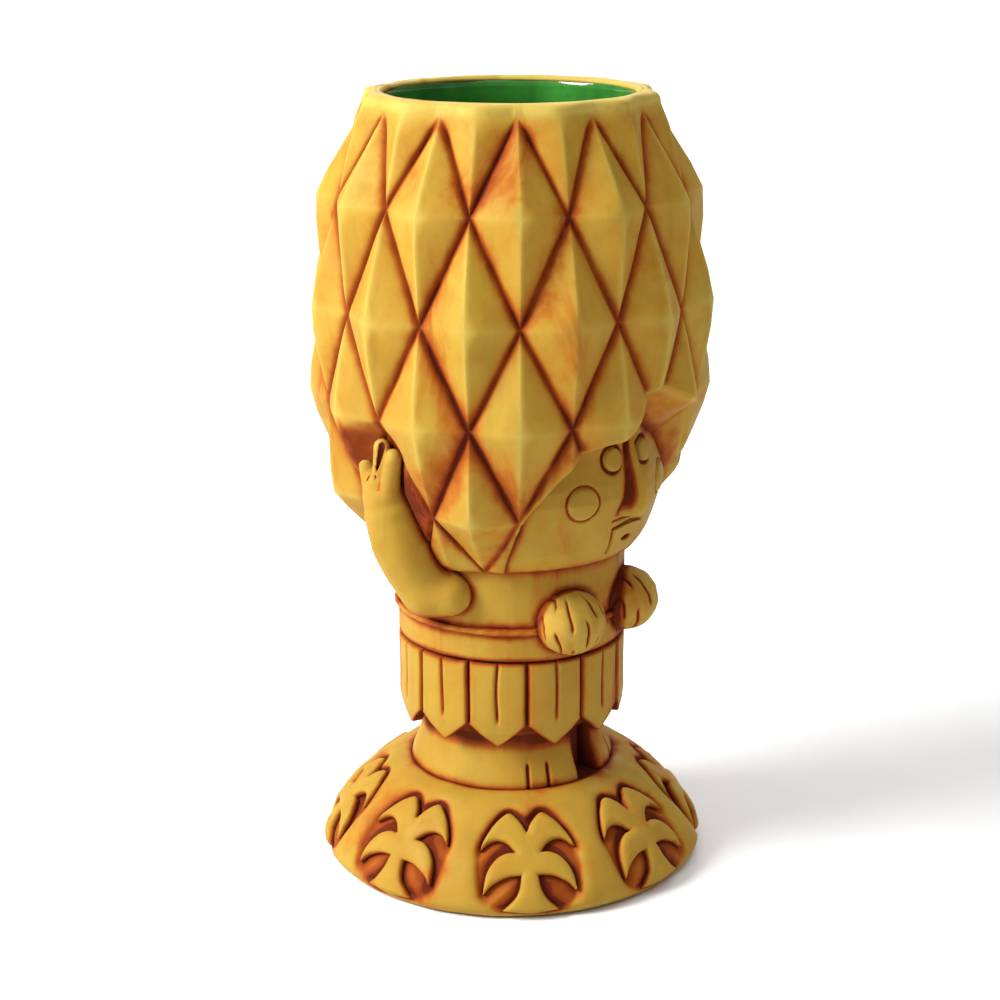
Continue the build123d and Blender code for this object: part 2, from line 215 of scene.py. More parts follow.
# ---------------------------------------------------------------- small mathematics
def around(bearing, radius, height):
    """Points at a bearing, radius and height, as an array with x, y, z last."""
    bearing, radius, height = np.broadcast_arrays(np.radians(bearing), radius, height)
    return np.stack([radius * np.sin(bearing), -radius * np.cos(bearing), height], -1).astype(float)


def bearing_of(points):
    return np.degrees(np.arctan2(points[..., 0], -points[..., 1]))


def radius_of(points):
    return np.hypot(points[..., 0], points[..., 1])


def step(low, high, value):
    """Smooth step from 0 at low to 1 at high."""
    t = np.clip((value - low) / (high - low), 0, 1)
    return t * t * (3 - 2 * t)


def blend_min(a, b, width):
    """Smaller of two distances with a rounded join."""
    h = np.clip(0.5 + 0.5 * (b - a) / width, 0, 1)
    return b + (a - b) * h - width * h * (1 - h)


def blend_max(a, b, width):
    return -blend_min(-a, -b, width)


def ripple(points, wavelength, seed):
    """Gentle hand-made unevenness, about -1 to 1."""
    rng = np.random.default_rng(seed)
    total = np.zeros(points.shape[:-1])
    for _ in range(7):
        direction = rng.normal(size=3)
        direction *= 2 * math.pi / (np.linalg.norm(direction) * wavelength * rng.uniform(0.7, 1.6))
        total += np.sin(points @ direction + rng.uniform(0, 2 * math.pi))
    return total / 4


def smooth_line(points, per_span=8):
    """Catmull-Rom curve through the points, ends included."""
    p = np.array(points, float)
    p = np.vstack([2 * p[0] - p[1], p, 2 * p[-1] - p[-2]])
    t = np.linspace(0, 1, per_span, endpoint=False)[:, None]
    spans = []
    for a, b, c, d in zip(p, p[1:], p[2:], p[3:]):
        square, cube = 2 * a - 5 * b + 4 * c - d, 3 * b - a - 3 * c + d
        spans.append(0.5 * (2 * b + (c - a) * t + square * t**2 + cube * t**3))
    return np.vstack(spans + [p[-2:-1]])


def bezier(t, a, b, c, d):
    return (1 - t) ** 3 * a + 3 * t * (1 - t) ** 2 * b + 3 * t * t * (1 - t) * c + t**3 * d


def evenly(line, spacing):
    """Resample a polyline at about one point per spacing."""
    length = np.concatenate([[0], np.cumsum(np.linalg.norm(np.diff(line, axis=0), axis=1))])
    where = np.linspace(0, length[-1], max(2, round(length[-1] / spacing) + 1))
    return np.stack([np.interp(where, length, line[:, k]) for k in range(line.shape[1])], -1)


def line_distance(points, line):
    """Distance from 2-D points to a polyline."""
    best = np.full(len(points), 1e9)
    for a, b in zip(line, line[1:]):
        along = b - a
        t = np.clip(((points - a) @ along) / max(along @ along, 1e-12), 0, 1)
        best = np.minimum(best, np.linalg.norm(points - a - t[:, None] * along, axis=1))
    return best


def inside_outline(points, outline):
    """True for 2-D points inside a closed outline."""
    inside = np.zeros(len(points), bool)
    x, y = points[:, 0], points[:, 1]
    for (ax, ay), (bx, by) in zip(outline, np.roll(outline, -1, axis=0)):
        crosses = (ay > y) != (by > y)
        with np.errstate(divide="ignore", invalid="ignore"):
            inside ^= crosses & (x < (bx - ax) * (y - ay) / (by - ay) + ax)
    return inside


def radius_at(profile, height):
    """Radius of a profile at a height, for profiles whose heights only rise or only fall."""
    p = np.array(sorted(profile, key=lambda point: point[1]))
    return np.interp(height, p[:, 1], p[:, 0])


def rounded(distance, width):
    """Drop of a surface near its edge: a quarter circle of the given width."""
    d = np.clip(distance, 0, width)
    return width - np.sqrt(np.maximum(width**2 - (width - d) ** 2, 0))


# ---------------------------------------------------------------- mesh building
clay = {}


def keep(name, points, faces, wash_and_shade=0.0, wear=0.0, cavity=1.0):
    """Note a clay piece's mesh, facing outwards and between the floor and the mug's top, with its own
    wash, painted shade and wear at each point and how strongly its hollows are to be stained."""
    count = len(points)
    corner = points[triangles_of(faces)]
    if np.einsum("ij,ij->", corner[:, 0], np.cross(corner[:, 1], corner[:, 2])) < 0:
        faces = [part[:, ::-1] for part in faces] if isinstance(faces, list) else faces[:, ::-1]
    lowest, highest = (-np.inf, -np.inf, 0.0), (np.inf, np.inf, TOP)
    clay[name] = {
        "points": np.clip(points, lowest, highest), "faces": faces, "cavity": cavity,
        "wash_and_shade": np.broadcast_to(wash_and_shade, count).astype(float).copy(),
        "wear": np.broadcast_to(wear, count).astype(float).copy(),
    }


def grid_faces(rows, columns, wrap_rows=False, wrap_columns=False, first=0):
    """Quads of a grid of points stored row by row."""
    i = np.arange(rows if wrap_rows else rows - 1)[:, None]
    j = np.arange(columns if wrap_columns else columns - 1)[None, :]
    i2, j2 = (i + 1) % rows, (j + 1) % columns
    corners = [i * columns + j, i * columns + j2, i2 * columns + j2, i2 * columns + j]
    return np.stack(np.broadcast_arrays(*corners), -1).reshape(-1, 4) + first


def slab(outer, inner):
    """Closed mesh from an outer and an inner grid of points with the same rows and columns."""
    rows, columns = outer.shape[:2]
    count = rows * columns
    points = np.vstack([outer.reshape(-1, 3), inner.reshape(-1, 3)])
    top = grid_faces(rows, columns)
    edge = np.concatenate([
        np.arange(columns - 1), np.arange(columns - 1, count - 1, columns),
        np.arange(count - 1, count - columns, -1), np.arange(count - columns, 0, -columns),
    ])
    after = np.roll(edge, -1)
    sides = np.stack([after, edge, edge + count, after + count], -1)
    return points, np.vstack([top, top[:, ::-1] + count, sides])


def capped(rings):
    """Closed mesh from rings of points, each closed on itself, with its first and last ring filled."""
    rows, columns = rings.shape[:2]
    points = rings.reshape(-1, 3)
    count = len(points)
    first, last = np.arange(columns), np.arange(columns) + count - columns
    points = np.vstack([points, points[first].mean(0), points[last].mean(0)])
    return points, [
        grid_faces(rows, columns, False, True)[:, ::-1],
        np.stack([first, np.roll(first, -1), np.full(columns, count)], -1),
        np.stack([np.roll(last, -1), last, np.full(columns, count + 1)], -1),
    ]


def turned(profile, spacing, columns, lift=None, closed=False):
    """Mesh of a profile turned round the axis. lift moves the surface outwards along its normal."""
    line = evenly(smooth_line(profile), spacing) if spacing else np.array(profile, float)
    tangent = np.gradient(line, axis=0)
    tangent /= np.linalg.norm(tangent, axis=1)[:, None]
    normal = np.stack([tangent[:, 1], -tangent[:, 0]], -1)
    bearings = np.arange(columns) * 360.0 / columns - 180.0
    bearing, row = np.meshgrid(bearings, np.arange(len(line)))
    offset = 0 if lift is None else lift(bearing, line[row, 0], line[row, 1])
    radius = line[row, 0] + offset * normal[row, 0]
    height = line[row, 1] + offset * normal[row, 1]
    return around(bearing, radius, height).reshape(-1, 3), grid_faces(len(line), columns, closed, True)


def voxel_mesh(low, high, size, field):
    """Mesh of a solid given by its distance field, negative inside, in millimetres."""
    low, high = np.array(low, float), np.array(high, float)
    counts = np.ceil((high - low) / size).astype(int) + 1
    axes = [low[k] + size * np.arange(counts[k]) for k in range(3)]
    values = field(*np.meshgrid(*axes, indexing="ij"))
    grid = openvdb.FloatGrid()
    grid.background = 3 * size
    grid.copyFromArray(np.clip(values, -3 * size, 3 * size).astype(np.float32))
    points, quads = grid.convertToQuads(isovalue=0.0)
    return points.astype(float) * size + low, quads.astype(int)[:, ::-1]


def with_back(wash_and_shade):
    """Wash and painted shade of a slab: its own in front and full at the hidden back."""
    return np.concatenate([wash_and_shade, np.ones(len(wash_and_shade))])


def bounds_of(line, margin):
    p = np.array(line)
    return p.min(0) - margin, p.max(0) + margin


def split(points, triangles, field, drop):
    """Cut triangles where field is 0. With drop, only the positive side stays."""
    sign = field > 1e-9
    inside = sign[triangles]
    count = inside.sum(1)
    whole = triangles[(count == 3) | ((count == 0) & (not drop))]
    cut = triangles[(count == 1) | (count == 2)]
    if len(cut) == 0:
        return points, whole, field
    lone_is_in = sign[cut].sum(1) == 1
    lone = np.argmax(sign[cut] == lone_is_in[:, None], axis=1)
    rows = np.arange(len(cut))
    a, b, c = cut[rows, lone], cut[rows, (lone + 1) % 3], cut[rows, (lone + 2) % 3]
    edges = np.sort(np.vstack([np.stack([a, b], -1), np.stack([a, c], -1)]), axis=1)
    unique, index = np.unique(edges, axis=0, return_inverse=True)
    index = index.reshape(-1)
    t = (field[unique[:, 0]] / (field[unique[:, 0]] - field[unique[:, 1]]))[:, None]
    new_points = points[unique[:, 0]] * (1 - t) + points[unique[:, 1]] * t
    ab, ac = index[: len(cut)] + len(points), index[len(cut):] + len(points)
    near = np.stack([a, ab, ac], -1)
    far = np.vstack([np.stack([ab, b, c], -1), np.stack([ab, c, ac], -1)])
    twice = np.concatenate([lone_is_in, lone_is_in])
    if drop:
        near, far = near[lone_is_in], far[~twice]
    field = np.concatenate([field, np.zeros(len(unique))])
    return np.vstack([points, new_points]), np.vstack([whole, near, far]), field


def tidy(points, triangles):
    """Merge points that coincide and drop points and triangles that are not used."""
    _, first, index = np.unique(np.round(points[:, :3], 4), axis=0, return_index=True, return_inverse=True)
    triangles = index.reshape(-1)[triangles]
    a, b, c = triangles.T
    triangles = triangles[(a != b) & (b != c) & (a != c)]
    used, index = np.unique(triangles, return_inverse=True)
    return points[first][used], index.reshape(triangles.shape)


def open_edges(triangles):
    """Closed runs of point numbers along the open edges of a triangle mesh."""
    edges = np.vstack([triangles[:, [0, 1]], triangles[:, [1, 2]], triangles[:, [2, 0]]])
    present = {(a, b) for a, b in edges.tolist()}
    following = {a: b for a, b in present if (b, a) not in present}
    runs = []
    while following:
        start, current = following.popitem()
        run = [start]
        while current != start:
            run.append(current)
            current = following.pop(current)
        runs.append(np.array(run))
    return runs


def walls(run, rings, first):
    """Quads that join a run of edge points to rings of new points stored one after another from first."""
    size = len(run)
    faces = []
    previous = run
    for ring in range(rings):
        current = first + ring * size + np.arange(size)
        faces.append(np.stack([np.roll(previous, -1), previous, current, np.roll(current, -1)], -1))
        previous = current
    return np.vstack(faces), previous


# ---------------------------------------------------------------- pineapple hair
def flat_map(bearing, height, radius):
    """Points of a surface laid flat, in millimetres."""
    return np.stack([np.radians(bearing) * radius, height], -1)


def hair_opening():
    """Outline of the face opening, laid flat."""
    right, left = smooth_line(RIGHT_HAIRLINE, 5), smooth_line(LEFT_HAIRLINE, 5)
    low = np.array([[-60.0, 75.0], [60.0, 75.0]])
    outline = np.vstack([right, low, left[:0:-1]])
    return flat_map(outline[:, 0], outline[:, 1], HAIR_FLAT_R)


def from_opening(points):
    """Distance from the hairline, positive in the hair and negative over the face."""
    flat = flat_map(bearing_of(points), points[..., 2], HAIR_FLAT_R)
    distance = line_distance(flat, np.vstack([OPENING, OPENING[:1]]))
    return np.where(inside_outline(flat, OPENING), -distance, distance)


def from_arm(points):
    """Distance over the surface from the middle line of the nearer arm."""
    line = np.array([HAND_END] + [(bearing, height) for bearing, _, height, _ in FOREARM + UPPER_ARM[1:]])
    middle = flat_map(line[:, 0], line[:, 1], ARM_FLAT_R)
    return line_distance(flat_map(np.abs(bearing_of(points)), points[..., 2], ARM_FLAT_R), middle)


def facet(peak, side, end, across, along, behind_hand):
    """Grid on the triangle between a peak and two groove crossings. Further columns hold its distances
    from the groove, the upright ridge and the level ridge, and how far it lies behind a hand."""
    v, u = np.meshgrid(across, along, indexing="ij")
    share = np.stack([v, (1 - v) * (1 - u), (1 - v) * u], -1)
    points = share @ np.array([peak, side, end])
    triangles = grid_faces(len(across), len(along))
    triangles = np.vstack([triangles[:, :3], triangles[:, [0, 2, 3]]])
    flat = np.concatenate([points, share * FACET_SPANS, v[..., None] * behind_hand], -1).reshape(-1, 7)
    normal = np.cross(side - peak, end - peak)
    if normal[:2] @ peak[:2] < 0:
        triangles = triangles[:, ::-1]
    if np.cross(points[0, 1] - points[0, 0], points[1, 0] - points[0, 0]) @ normal < 0:
        triangles = triangles[:, ::-1]
    return flat, triangles


def hair_lattice():
    """Corner points of the facets: peaks and groove crossings, a little uneven."""
    rng = np.random.default_rng(5)
    corners = {}
    for row, height in enumerate(ROW_Z):
        inner = 0 < row < len(ROW_Z) - 1
        for column in range(COLUMNS):
            radius = (PEAK_R if (row + column) % 2 == 0 else CROSSING_R)[row]
            if (row, column) in BEHIND_HANDS:
                radius = HAND_HOLLOW_R
            bearing = HAIR_TWIST + column * 360.0 / COLUMNS + inner * rng.uniform(-0.35, 0.35)
            corners[row, column] = around(bearing, radius, height + inner * rng.uniform(-0.45, 0.45))
    return corners


def zipped(loop_a, loop_b, points):
    """Triangles that join two rings round the axis, the first below the second."""
    order = [loop[np.argsort(bearing_of(points[loop]), kind="stable")] for loop in (loop_a, loop_b)]
    a, b = order
    turn_a, turn_b = bearing_of(points[a]), bearing_of(points[b])
    i = j = 0
    faces = []
    while i < len(a) or j < len(b):
        if j == len(b) or (i < len(a) and turn_a[i] <= turn_b[j]):
            faces.append((a[i % len(a)], b[j % len(b)], a[(i + 1) % len(a)]))
            i += 1
        else:
            faces.append((a[i % len(a)], b[j % len(b)], b[(j + 1) % len(b)]))
            j += 1
    return np.array(faces)


def hair_facets():
    """All facets as one mesh, without the face opening, with finer points near its edge and the arms."""
    corners = hair_lattice()
    across = np.array([0, 0.22, 0.45, 0.75, 1.1, 1.6, 2.4, 3.8, 5.8, 8.6, 12.0]) / 12.0
    near = np.array([0, 0.022, 0.055, 0.1])
    along = np.concatenate([near, np.arange(0.155, 0.86, 0.0575), 1 - near[::-1]])
    along = (along + (1 - along[::-1])) / 2
    patches, triangles, count = [], [], 0
    for (row, column), peak in corners.items():
        if (row + column) % 2:
            continue
        for sideways in (-1, 1):
            side = corners[row, (column + sideways) % COLUMNS]
            for up in (-1, 1):
                if (row + up, column) in corners:
                    end, behind_hand = corners[row + up, column], (row, column) in BEHIND_HANDS
                    patch, faces = facet(peak, side, end, across, along, behind_hand)
                    patches.append(patch)
                    triangles.append(faces + count)
                    count += len(patch)
    points, triangles = np.vstack(patches), np.vstack(triangles)
    points, triangles = tidy(points, triangles)
    for distance in (0.0, 0.3, 0.7, 1.2, 1.9):
        field = from_opening(points[:, :3]) - distance
        points, triangles, _ = split(points, triangles, field, distance == 0)
    for distance in (4.5, 6.0, 7.5, 9.0):
        points, triangles, _ = split(points, triangles, from_arm(points[:, :3]) - distance, False)
    return tidy(points, triangles)


def hair_surface(points):
    """Facet points with grooves, soft ridges and hollows beside the arms, and their wash, painted shade and
    wear.
    """
    base = points[:, :3]
    groove, upright, level = points[:, 3], points[:, 4], points[:, 5]
    bearing, radius, height = bearing_of(base), radius_of(base), base[:, 2].copy()
    fade = 1 - step(201.5, 206.3, height)
    inside_facet = step(0.0, 1.8, groove)
    depth = GROOVE_DEPTH * np.exp(-((groove / GROOVE_WIDTH) ** 2)) + 0.35 * np.exp(-groove / 1.7)
    depth *= fade * (1 + 0.25 * ripple(base, 9.0, 3))
    softening = 0.2 * np.clip(1 - upright / 1.2, 0, 1) ** 2 + 0.28 * np.clip(1 - level / 2.0, 0, 1) ** 2
    edge = np.maximum(from_opening(base), 0)
    softening += 0.6 * np.exp(-((np.hypot(upright, level) / 3.2) ** 2))
    radius = radius - depth - softening * inside_facet + 0.13 * ripple(base, 17.0, 4) * fade
    radius -= rounded(edge, 0.9)
    arm = from_arm(base)
    radius = radius - 3.2 * (1 - step(4.5, 9.0, arm)) * step(88, 92, height)
    radius = np.maximum(radius, radius_at(BEHIND_HAIR, height) + 0.6)
    beside_face = step(62.0, 56.0, np.abs(bearing)) * (height < 112)
    beside_face = beside_face * step(HAIR_LOW, HAIR_LOW + 1.5, height)
    over_face = radius_at(FACE, height) + 2.2 - rounded(edge, 1.2)
    radius = np.where(over_face > radius, radius + (over_face - radius) * beside_face, radius)
    wash_and_shade = 0.38 * np.exp(-((groove / 1.0) ** 2)) + 0.48 * np.exp(-groove / 2.6)
    wash_and_shade = wash_and_shade * (1 - step(203.5, 207.5, height))
    wash_and_shade *= step(0.0, 2.0, edge)
    wash_and_shade = np.maximum(wash_and_shade, 0.7 * np.exp(-(height - HAIR_LOW) / 1.2))
    # Wash in the sunk facet behind each hand, with painted shade that deepens towards the arm
    wash_and_shade = np.maximum(wash_and_shade, 0.8 * step(0.0, 0.06, points[:, 6]) + 0.25 * step(0.1, 0.5, points[:, 6]))
    wash_and_shade = np.maximum(wash_and_shade, 0.5 * (1 - step(6.5, 11.0, arm)))
    # Painted shadow of each hand on the hair above it
    from_hand_shadow = np.hypot((np.abs(bearing) - HAND_SHADE[0]) * 0.8, height - HAND_SHADE[1])
    wash_and_shade = np.maximum(wash_and_shade, 0.85 * step(11.0, 4.0, from_hand_shadow))
    wear = 0.6 * np.exp(-((upright / 0.7) ** 2)) * inside_facet
    wear += 0.25 * np.exp(-((level / 1.2) ** 2)) * inside_facet
    wear = np.maximum(wear, 0.7 * step(206.0, 207.5, height))
    return around(bearing, radius, height), wash_and_shade, wear


def build_hair():
    """The facets, closed over the rim, in along the face opening and up behind them along the cup."""
    points, triangles = hair_facets()
    points, wash_and_shade, wear = hair_surface(points)
    runs = open_edges(triangles)
    top = max(runs, key=lambda run: points[run, 2].mean())
    low = max((run for run in runs if run is not top), key=len)
    layers, wash_and_shade_layers, wears, faces = [points], [wash_and_shade], [wear], [triangles]

    def add_rings(run, rings, ring_stain, ring_wear):
        joined, last = walls(run, len(rings), sum(map(len, layers)))
        for ring, s, w in zip(rings, ring_stain, ring_wear):
            layers.append(ring)
            wash_and_shade_layers.append(np.full(len(ring), s))
            wears.append(np.full(len(ring), w))
        faces.append(joined)
        return last

    rim = points[top]
    r0, b0 = radius_of(rim), bearing_of(rim)
    rings = []
    for t in np.linspace(0, 1, 9)[1:]:
        r = bezier(t, r0, r0 - 0.2, r0 - 0.8, LIP_R)
        z = bezier(t, rim[:, 2], rim[:, 2] + 2.6, TOP, TOP)
        rings.append(around(b0, r, np.minimum(z, TOP)))
    rings += [around(b0, LIP_R - 0.4, TOP - 0.25), around(b0, LIP_R, TOP - 1.5)]
    lip = add_rings(top, rings, [0.0] * 10, [1.0] * 10)

    edge_points = points[low]
    bearing, radius, height = bearing_of(edge_points), radius_of(edge_points), edge_points[:, 2]
    over_face = (np.abs(bearing) < 52.5) & (height > HAIR_LOW + 0.5)
    sloping = over_face * step(95.0, 121.0, height) * step(-7.0, 4.0, bearing)
    foot_height = height - HAIRLINE_SLOPE * sloping
    foot_bearing = bearing * (1 - 0.07 * sloping)
    foot = np.where(over_face, radius_at(FACE[4:], foot_height) - 0.8, 0.0)
    foot = np.maximum(foot, radius_at(BEHIND_HAIR, foot_height) - 0.8)
    shares = (0.1, 0.25, 0.45, 0.7, 1.0)
    uneven = 0.22 * ripple(edge_points, 5.0, 8)
    rings = [
        around(bearing + (foot_bearing - bearing) * s, radius + (foot - radius) * s,
               height + (foot_height - height) * s + uneven * math.sin(math.pi * s)) for s in shares
    ]
    inner = add_rings(low, rings, (0.2, 0.3, 0.4, 0.55, 0.95), (0.4, 0.0, 0.0, 0.0, 0.0))
    rings = []
    for t in np.linspace(0, 1, 11)[1:]:
        z = foot_height + (TOP - 3.0 - foot_height) * t
        rings.append(around(foot_bearing, radius_at(BEHIND_HAIR, z) - 0.8, z))
    inner = add_rings(inner, rings, [1.0] * 10, [0.0] * 10)
    everything = np.vstack(layers)
    faces.append(zipped(inner, lip, everything)[:, ::-1])
    keep("pineapple_hair", everything, faces, np.concatenate(wash_and_shade_layers), np.concatenate(wears), cavity=0.0)


# ---------------------------------------------------------------- cup, glaze and torso
def build_cup():
    def uneven(bearing, radius, height):
        return 0.12 * ripple(around(bearing, radius, height), 14.0, 11)

    line = evenly(np.array(HIPS_WALL + CUP_WALL), 0.9)
    wall = np.vstack([line, CUP_LIP, evenly(smooth_line(CAVITY, 4), 1.6)[::-1]])
    points, faces = turned(wall, None, CUP_COLUMNS, uneven, True)
    height, radius = points[:, 2], radius_of(points)
    outside = radius > radius_at(CAVITY, height) + 1.2
    torso = (height > 62) & (height < 91) & outside
    # Torso: a light wash all over; painted shade just under the hair and face, from 86 to 89.5 mm; dark
    # below 64 mm, behind the skirt's blades
    torso_wash_and_shade = 0.16 + 0.36 * step(86, 89.5, height) + 0.7 * (1 - step(64.0, 65.6, height))
    wash_and_shade = np.where(torso, torso_wash_and_shade, 0.0)
    # Painted shadow of the skirt on the wall below 62 mm, seen between the blade tips and the legs
    wash_and_shade = np.where((height < 62) & outside, 0.95, wash_and_shade)
    keep("cup_vessel", points, faces[:, ::-1], wash_and_shade, np.where(height > 206, 1.0, 0.0), cavity=0.0)


def build_glaze():
    """Thin coat over the cavity, from a plain cone at the bottom to a rolled edge inside the lip."""
    line = evenly(smooth_line(CAVITY[1:], 4), 1.6)
    low = box_mm("glaze_lining")[0][2]
    line[:, 1] = np.maximum(line[:, 1], low)
    radius = line[:, 0] - 0.55 - 0.12 * (line[:, 1] < 205)
    inner = np.stack([radius, line[:, 1] - 0.15], -1)[::-1]
    inner[-1, 1] = low + 0.6
    outline = np.vstack([[[0.01, low]], line, [[32.85, 209.0]], inner, [[0.01, low + 0.6]]])
    return turned(outline, None, GLAZE_COLUMNS, None)


# ---------------------------------------------------------------- face
def ring_groove(flat, centre, half, width, depth):
    """Depth of an oval groove on the flat-mapped face."""
    local = (flat - centre) / half
    reach = np.hypot(local[:, 0], local[:, 1])
    return depth * np.exp(-(((reach - 1) * min(half) / width) ** 2)), reach


def stroke(flat, line, width, depth):
    return depth * np.exp(-((line_distance(flat, np.array(line, float)) / width) ** 2))


def face_point(bearing, lift, height):
    return around(bearing, radius_at(FACE, height) + lift, height)


def build_face():
    bearing, height = np.meshgrid(np.arange(-55.0, 55.1, 0.6), np.arange(FACE[0][1], FACE[-1][1], 0.4))
    shape = bearing.shape
    flat = flat_map(bearing - FACE_TURN, height, FACE_R).reshape(-1, 2)
    x, z = np.abs(flat[:, 0]), flat[:, 1]
    lift, wash_and_shade = np.zeros(len(flat)), np.zeros(len(flat))
    for side in (-1, 1):
        eye_x, eye_z, eye_w, eye_h = EYE
        centre = (side * math.radians(eye_x) * FACE_R, eye_z)
        groove, reach = ring_groove(flat, centre, (eye_w + 0.5, eye_h + 0.5), 0.42, 0.65)
        lift -= groove
        wash_and_shade = np.maximum(wash_and_shade, 1.2 * groove / 0.7 + 0.55 * np.exp(-np.maximum(reach - 1, 0) * 5.0))
        x_cheek, z_cheek, w_cheek, h_cheek = CHEEK
        centre = (side * math.radians(x_cheek) * FACE_R, z_cheek)
        groove, reach = ring_groove(flat, centre, (w_cheek + 0.35, h_cheek + 0.35), 0.33, 0.5)
        lift -= groove
        wash_and_shade = np.maximum(wash_and_shade, 0.95 * groove / 0.5)
    nose_height, nose_half, _ = np.array(NOSE[::-1]).T
    nose = np.interp(z, nose_height, nose_half)
    beside = np.exp(-np.maximum(x - nose, 0) / 1.1) * step(NOSE_TOP_Z + 2, 122, z)
    beside = beside * step(NOSE_BASE_Z - 1.0, NOSE_BASE_Z + 2.5, z)
    lift -= 0.6 * beside
    wash_and_shade = np.maximum(wash_and_shade, 1.0 * beside)
    for line in (
        ((-7.0, 102.3), (-3.0, 102.6), (3.0, 102.6), (7.0, 102.3)),
        ((-6.2, 99.9), (-5.6, 92.8)), ((6.2, 99.9), (5.6, 92.8)),
        ((-6.2, 99.9), (-4.2, 100.4), (-2.0, 100.9), (0.0, 101.1), (2.0, 100.9), (4.2, 100.4),
         (6.2, 99.9)),
    ):
        groove = stroke(flat, line, 0.36, 0.55)
        lift -= groove
        wash_and_shade = np.maximum(wash_and_shade, 0.95 * groove / 0.55)
    under_mouth = step(5.7, 5.0, x) * step(MOUTH_LOW_Z, MOUTH_LOW_Z + 0.7, z)
    past_bow = z - MOUTH_TOP_Z - MOUTH_BOW * (1 - (x / MOUTH_HALF) ** 2) + MOUTH_BOW
    under_mouth *= step(0.9, 0.3, past_bow)
    lift -= 1.7 * under_mouth
    points = around(bearing, radius_at(FACE, height), height).reshape(-1, 3)
    wash_and_shade = np.maximum(wash_and_shade, 0.08 + 0.8 * np.exp(-(height.reshape(-1) - FACE[0][1]) / 1.3))
    lift += 0.14 * ripple(points, 13.0, 21)
    outer = around(bearing.reshape(-1), radius_at(FACE, height.reshape(-1)) + lift, height.reshape(-1))
    inner = around(bearing, np.maximum(radius_at(FACE, height) - 2.5, 27.5), height)
    points, faces = slab(outer.reshape(*shape, 3), inner)
    keep("face_panel", points, faces[:, ::-1], with_back(wash_and_shade), 0.0, cavity=0.6)


def build_disc(name, side, size, lift, dome):
    """Raised oval disc on the face, with a rounded rim."""
    bearing, height, half_w, half_h = size
    reach = np.array([0.02, 0.3, 0.55, 0.72, 0.84, 0.92, 0.97, 1.0, 1.02, 0.97])
    drop = np.array([0, 0, 0, 0.02, 0.07, 0.18, 0.4, 0.75, 1.8, 2.6])
    turn = np.linspace(0, 2 * math.pi, DISC_COLUMNS, endpoint=False)
    x = half_w * reach[:, None] * np.cos(turn)
    z = height + half_h * reach[:, None] * np.sin(turn)
    angle = FACE_TURN + side * bearing + np.degrees(x / FACE_R)
    crown = lift + dome * (1 - np.minimum(reach, 1) ** 2)[:, None] - drop[:, None] * (lift + 0.9)
    points, faces = capped(face_point(angle, crown, z))
    wash_and_shade = np.concatenate([np.repeat(step(0.3, 1.3, drop), DISC_COLUMNS), [0, 1]])
    keep(name, points, faces, wash_and_shade, 0.0, cavity=0.3)


def build_nose():
    """Long wedge of a nose, narrow between the eyes and wide over its flat underside."""
    above, below = ((128.4, 0.6, -1.2),), ((102.9, 6.45, 0.6), (102.8, 6.3, -1.2))
    rows = smooth_line(above + NOSE + below, 5)
    across = np.sin(np.linspace(-math.pi / 2, math.pi / 2, 41))
    z, half, lift = rows[:, 0:1], rows[:, 1:2], rows[:, 2:3]
    bearing = FACE_TURN + np.degrees(across * half / FACE_R)
    profile = (1 - np.abs(across) ** 1.1) * (lift + 1.4) - 1.4
    outer = face_point(bearing, np.where(lift > 0, profile, np.minimum(profile, lift)), z + 0 * across)
    inner = face_point(bearing, -3.0, z + 0 * across)
    points, faces = slab(outer, inner)
    wash_and_shade = np.tile(step(0.22, 0.6, np.abs(across)), len(rows))
    wash_and_shade = wash_and_shade * np.repeat(step(103.5, 107, rows[:, 0]), len(across))
    keep("nose", points, faces, with_back(wash_and_shade), 0.0, cavity=0.4)


def build_mouth():
    """Plate with a bowed top and narrower foot, and a leaf-shaped slot between the lips."""
    z = np.arange(MOUTH_LOW_Z, MOUTH_TOP_Z, 0.25)[::-1, None]
    across = np.linspace(-1, 1, 81)
    half = MOUTH_HALF - MOUTH_TAPER * (MOUTH_TOP_Z - z) / (MOUTH_TOP_Z - MOUTH_LOW_Z)
    x = across * half
    edge = np.minimum(np.minimum(MOUTH_TOP_Z - z, z - MOUTH_LOW_Z + 1.0), half - np.abs(x))
    bow = MOUTH_BOW * (1 - across**2) * (z - MOUTH_LOW_Z) / (MOUTH_TOP_Z - MOUTH_LOW_Z)
    leaf = LIPS_OPEN * (1 - (x / LIPS_HALF) ** 2) - np.abs(z - LIPS_Z)
    slot = step(-0.3, 0.25, leaf)
    lift = 0.55 - rounded(np.maximum(edge, 0), 0.6) - 1.6 * slot + 0 * x
    outer = face_point(FACE_TURN + np.degrees(x / FACE_R), lift, z + bow)
    inner = face_point(FACE_TURN + np.degrees(x / FACE_R), -2.2, z + bow)
    points, faces = slab(outer, inner)
    wash_and_shade = np.maximum(1.3 * slot, 0.3 * np.exp(-np.maximum(edge, 0) / 0.5)).reshape(-1)
    keep("mouth_plate", points, faces, with_back(wash_and_shade), 0.0, cavity=0.4)


# ---------------------------------------------------------------- arms
def limb(p, line):
    """Distance from a round limb whose middle line has (x, y, z, radius) at each point."""
    best = np.full(p.shape[:-1], 1e9)
    for a, b in zip(line, line[1:]):
        along = b[:3] - a[:3]
        t = np.clip(((p - a[:3]) @ along) / (along @ along), 0, 1)
        reach = np.linalg.norm(p - a[:3] - t[..., None] * along, axis=-1)
        best = np.minimum(best, reach - (a[3] + t * (b[3] - a[3])))
    return best


def limb_line(rows, side):
    rows = np.array(rows, float)
    return np.hstack([around(side * rows[:, 0], rows[:, 1], rows[:, 2]), rows[:, 3:4]])


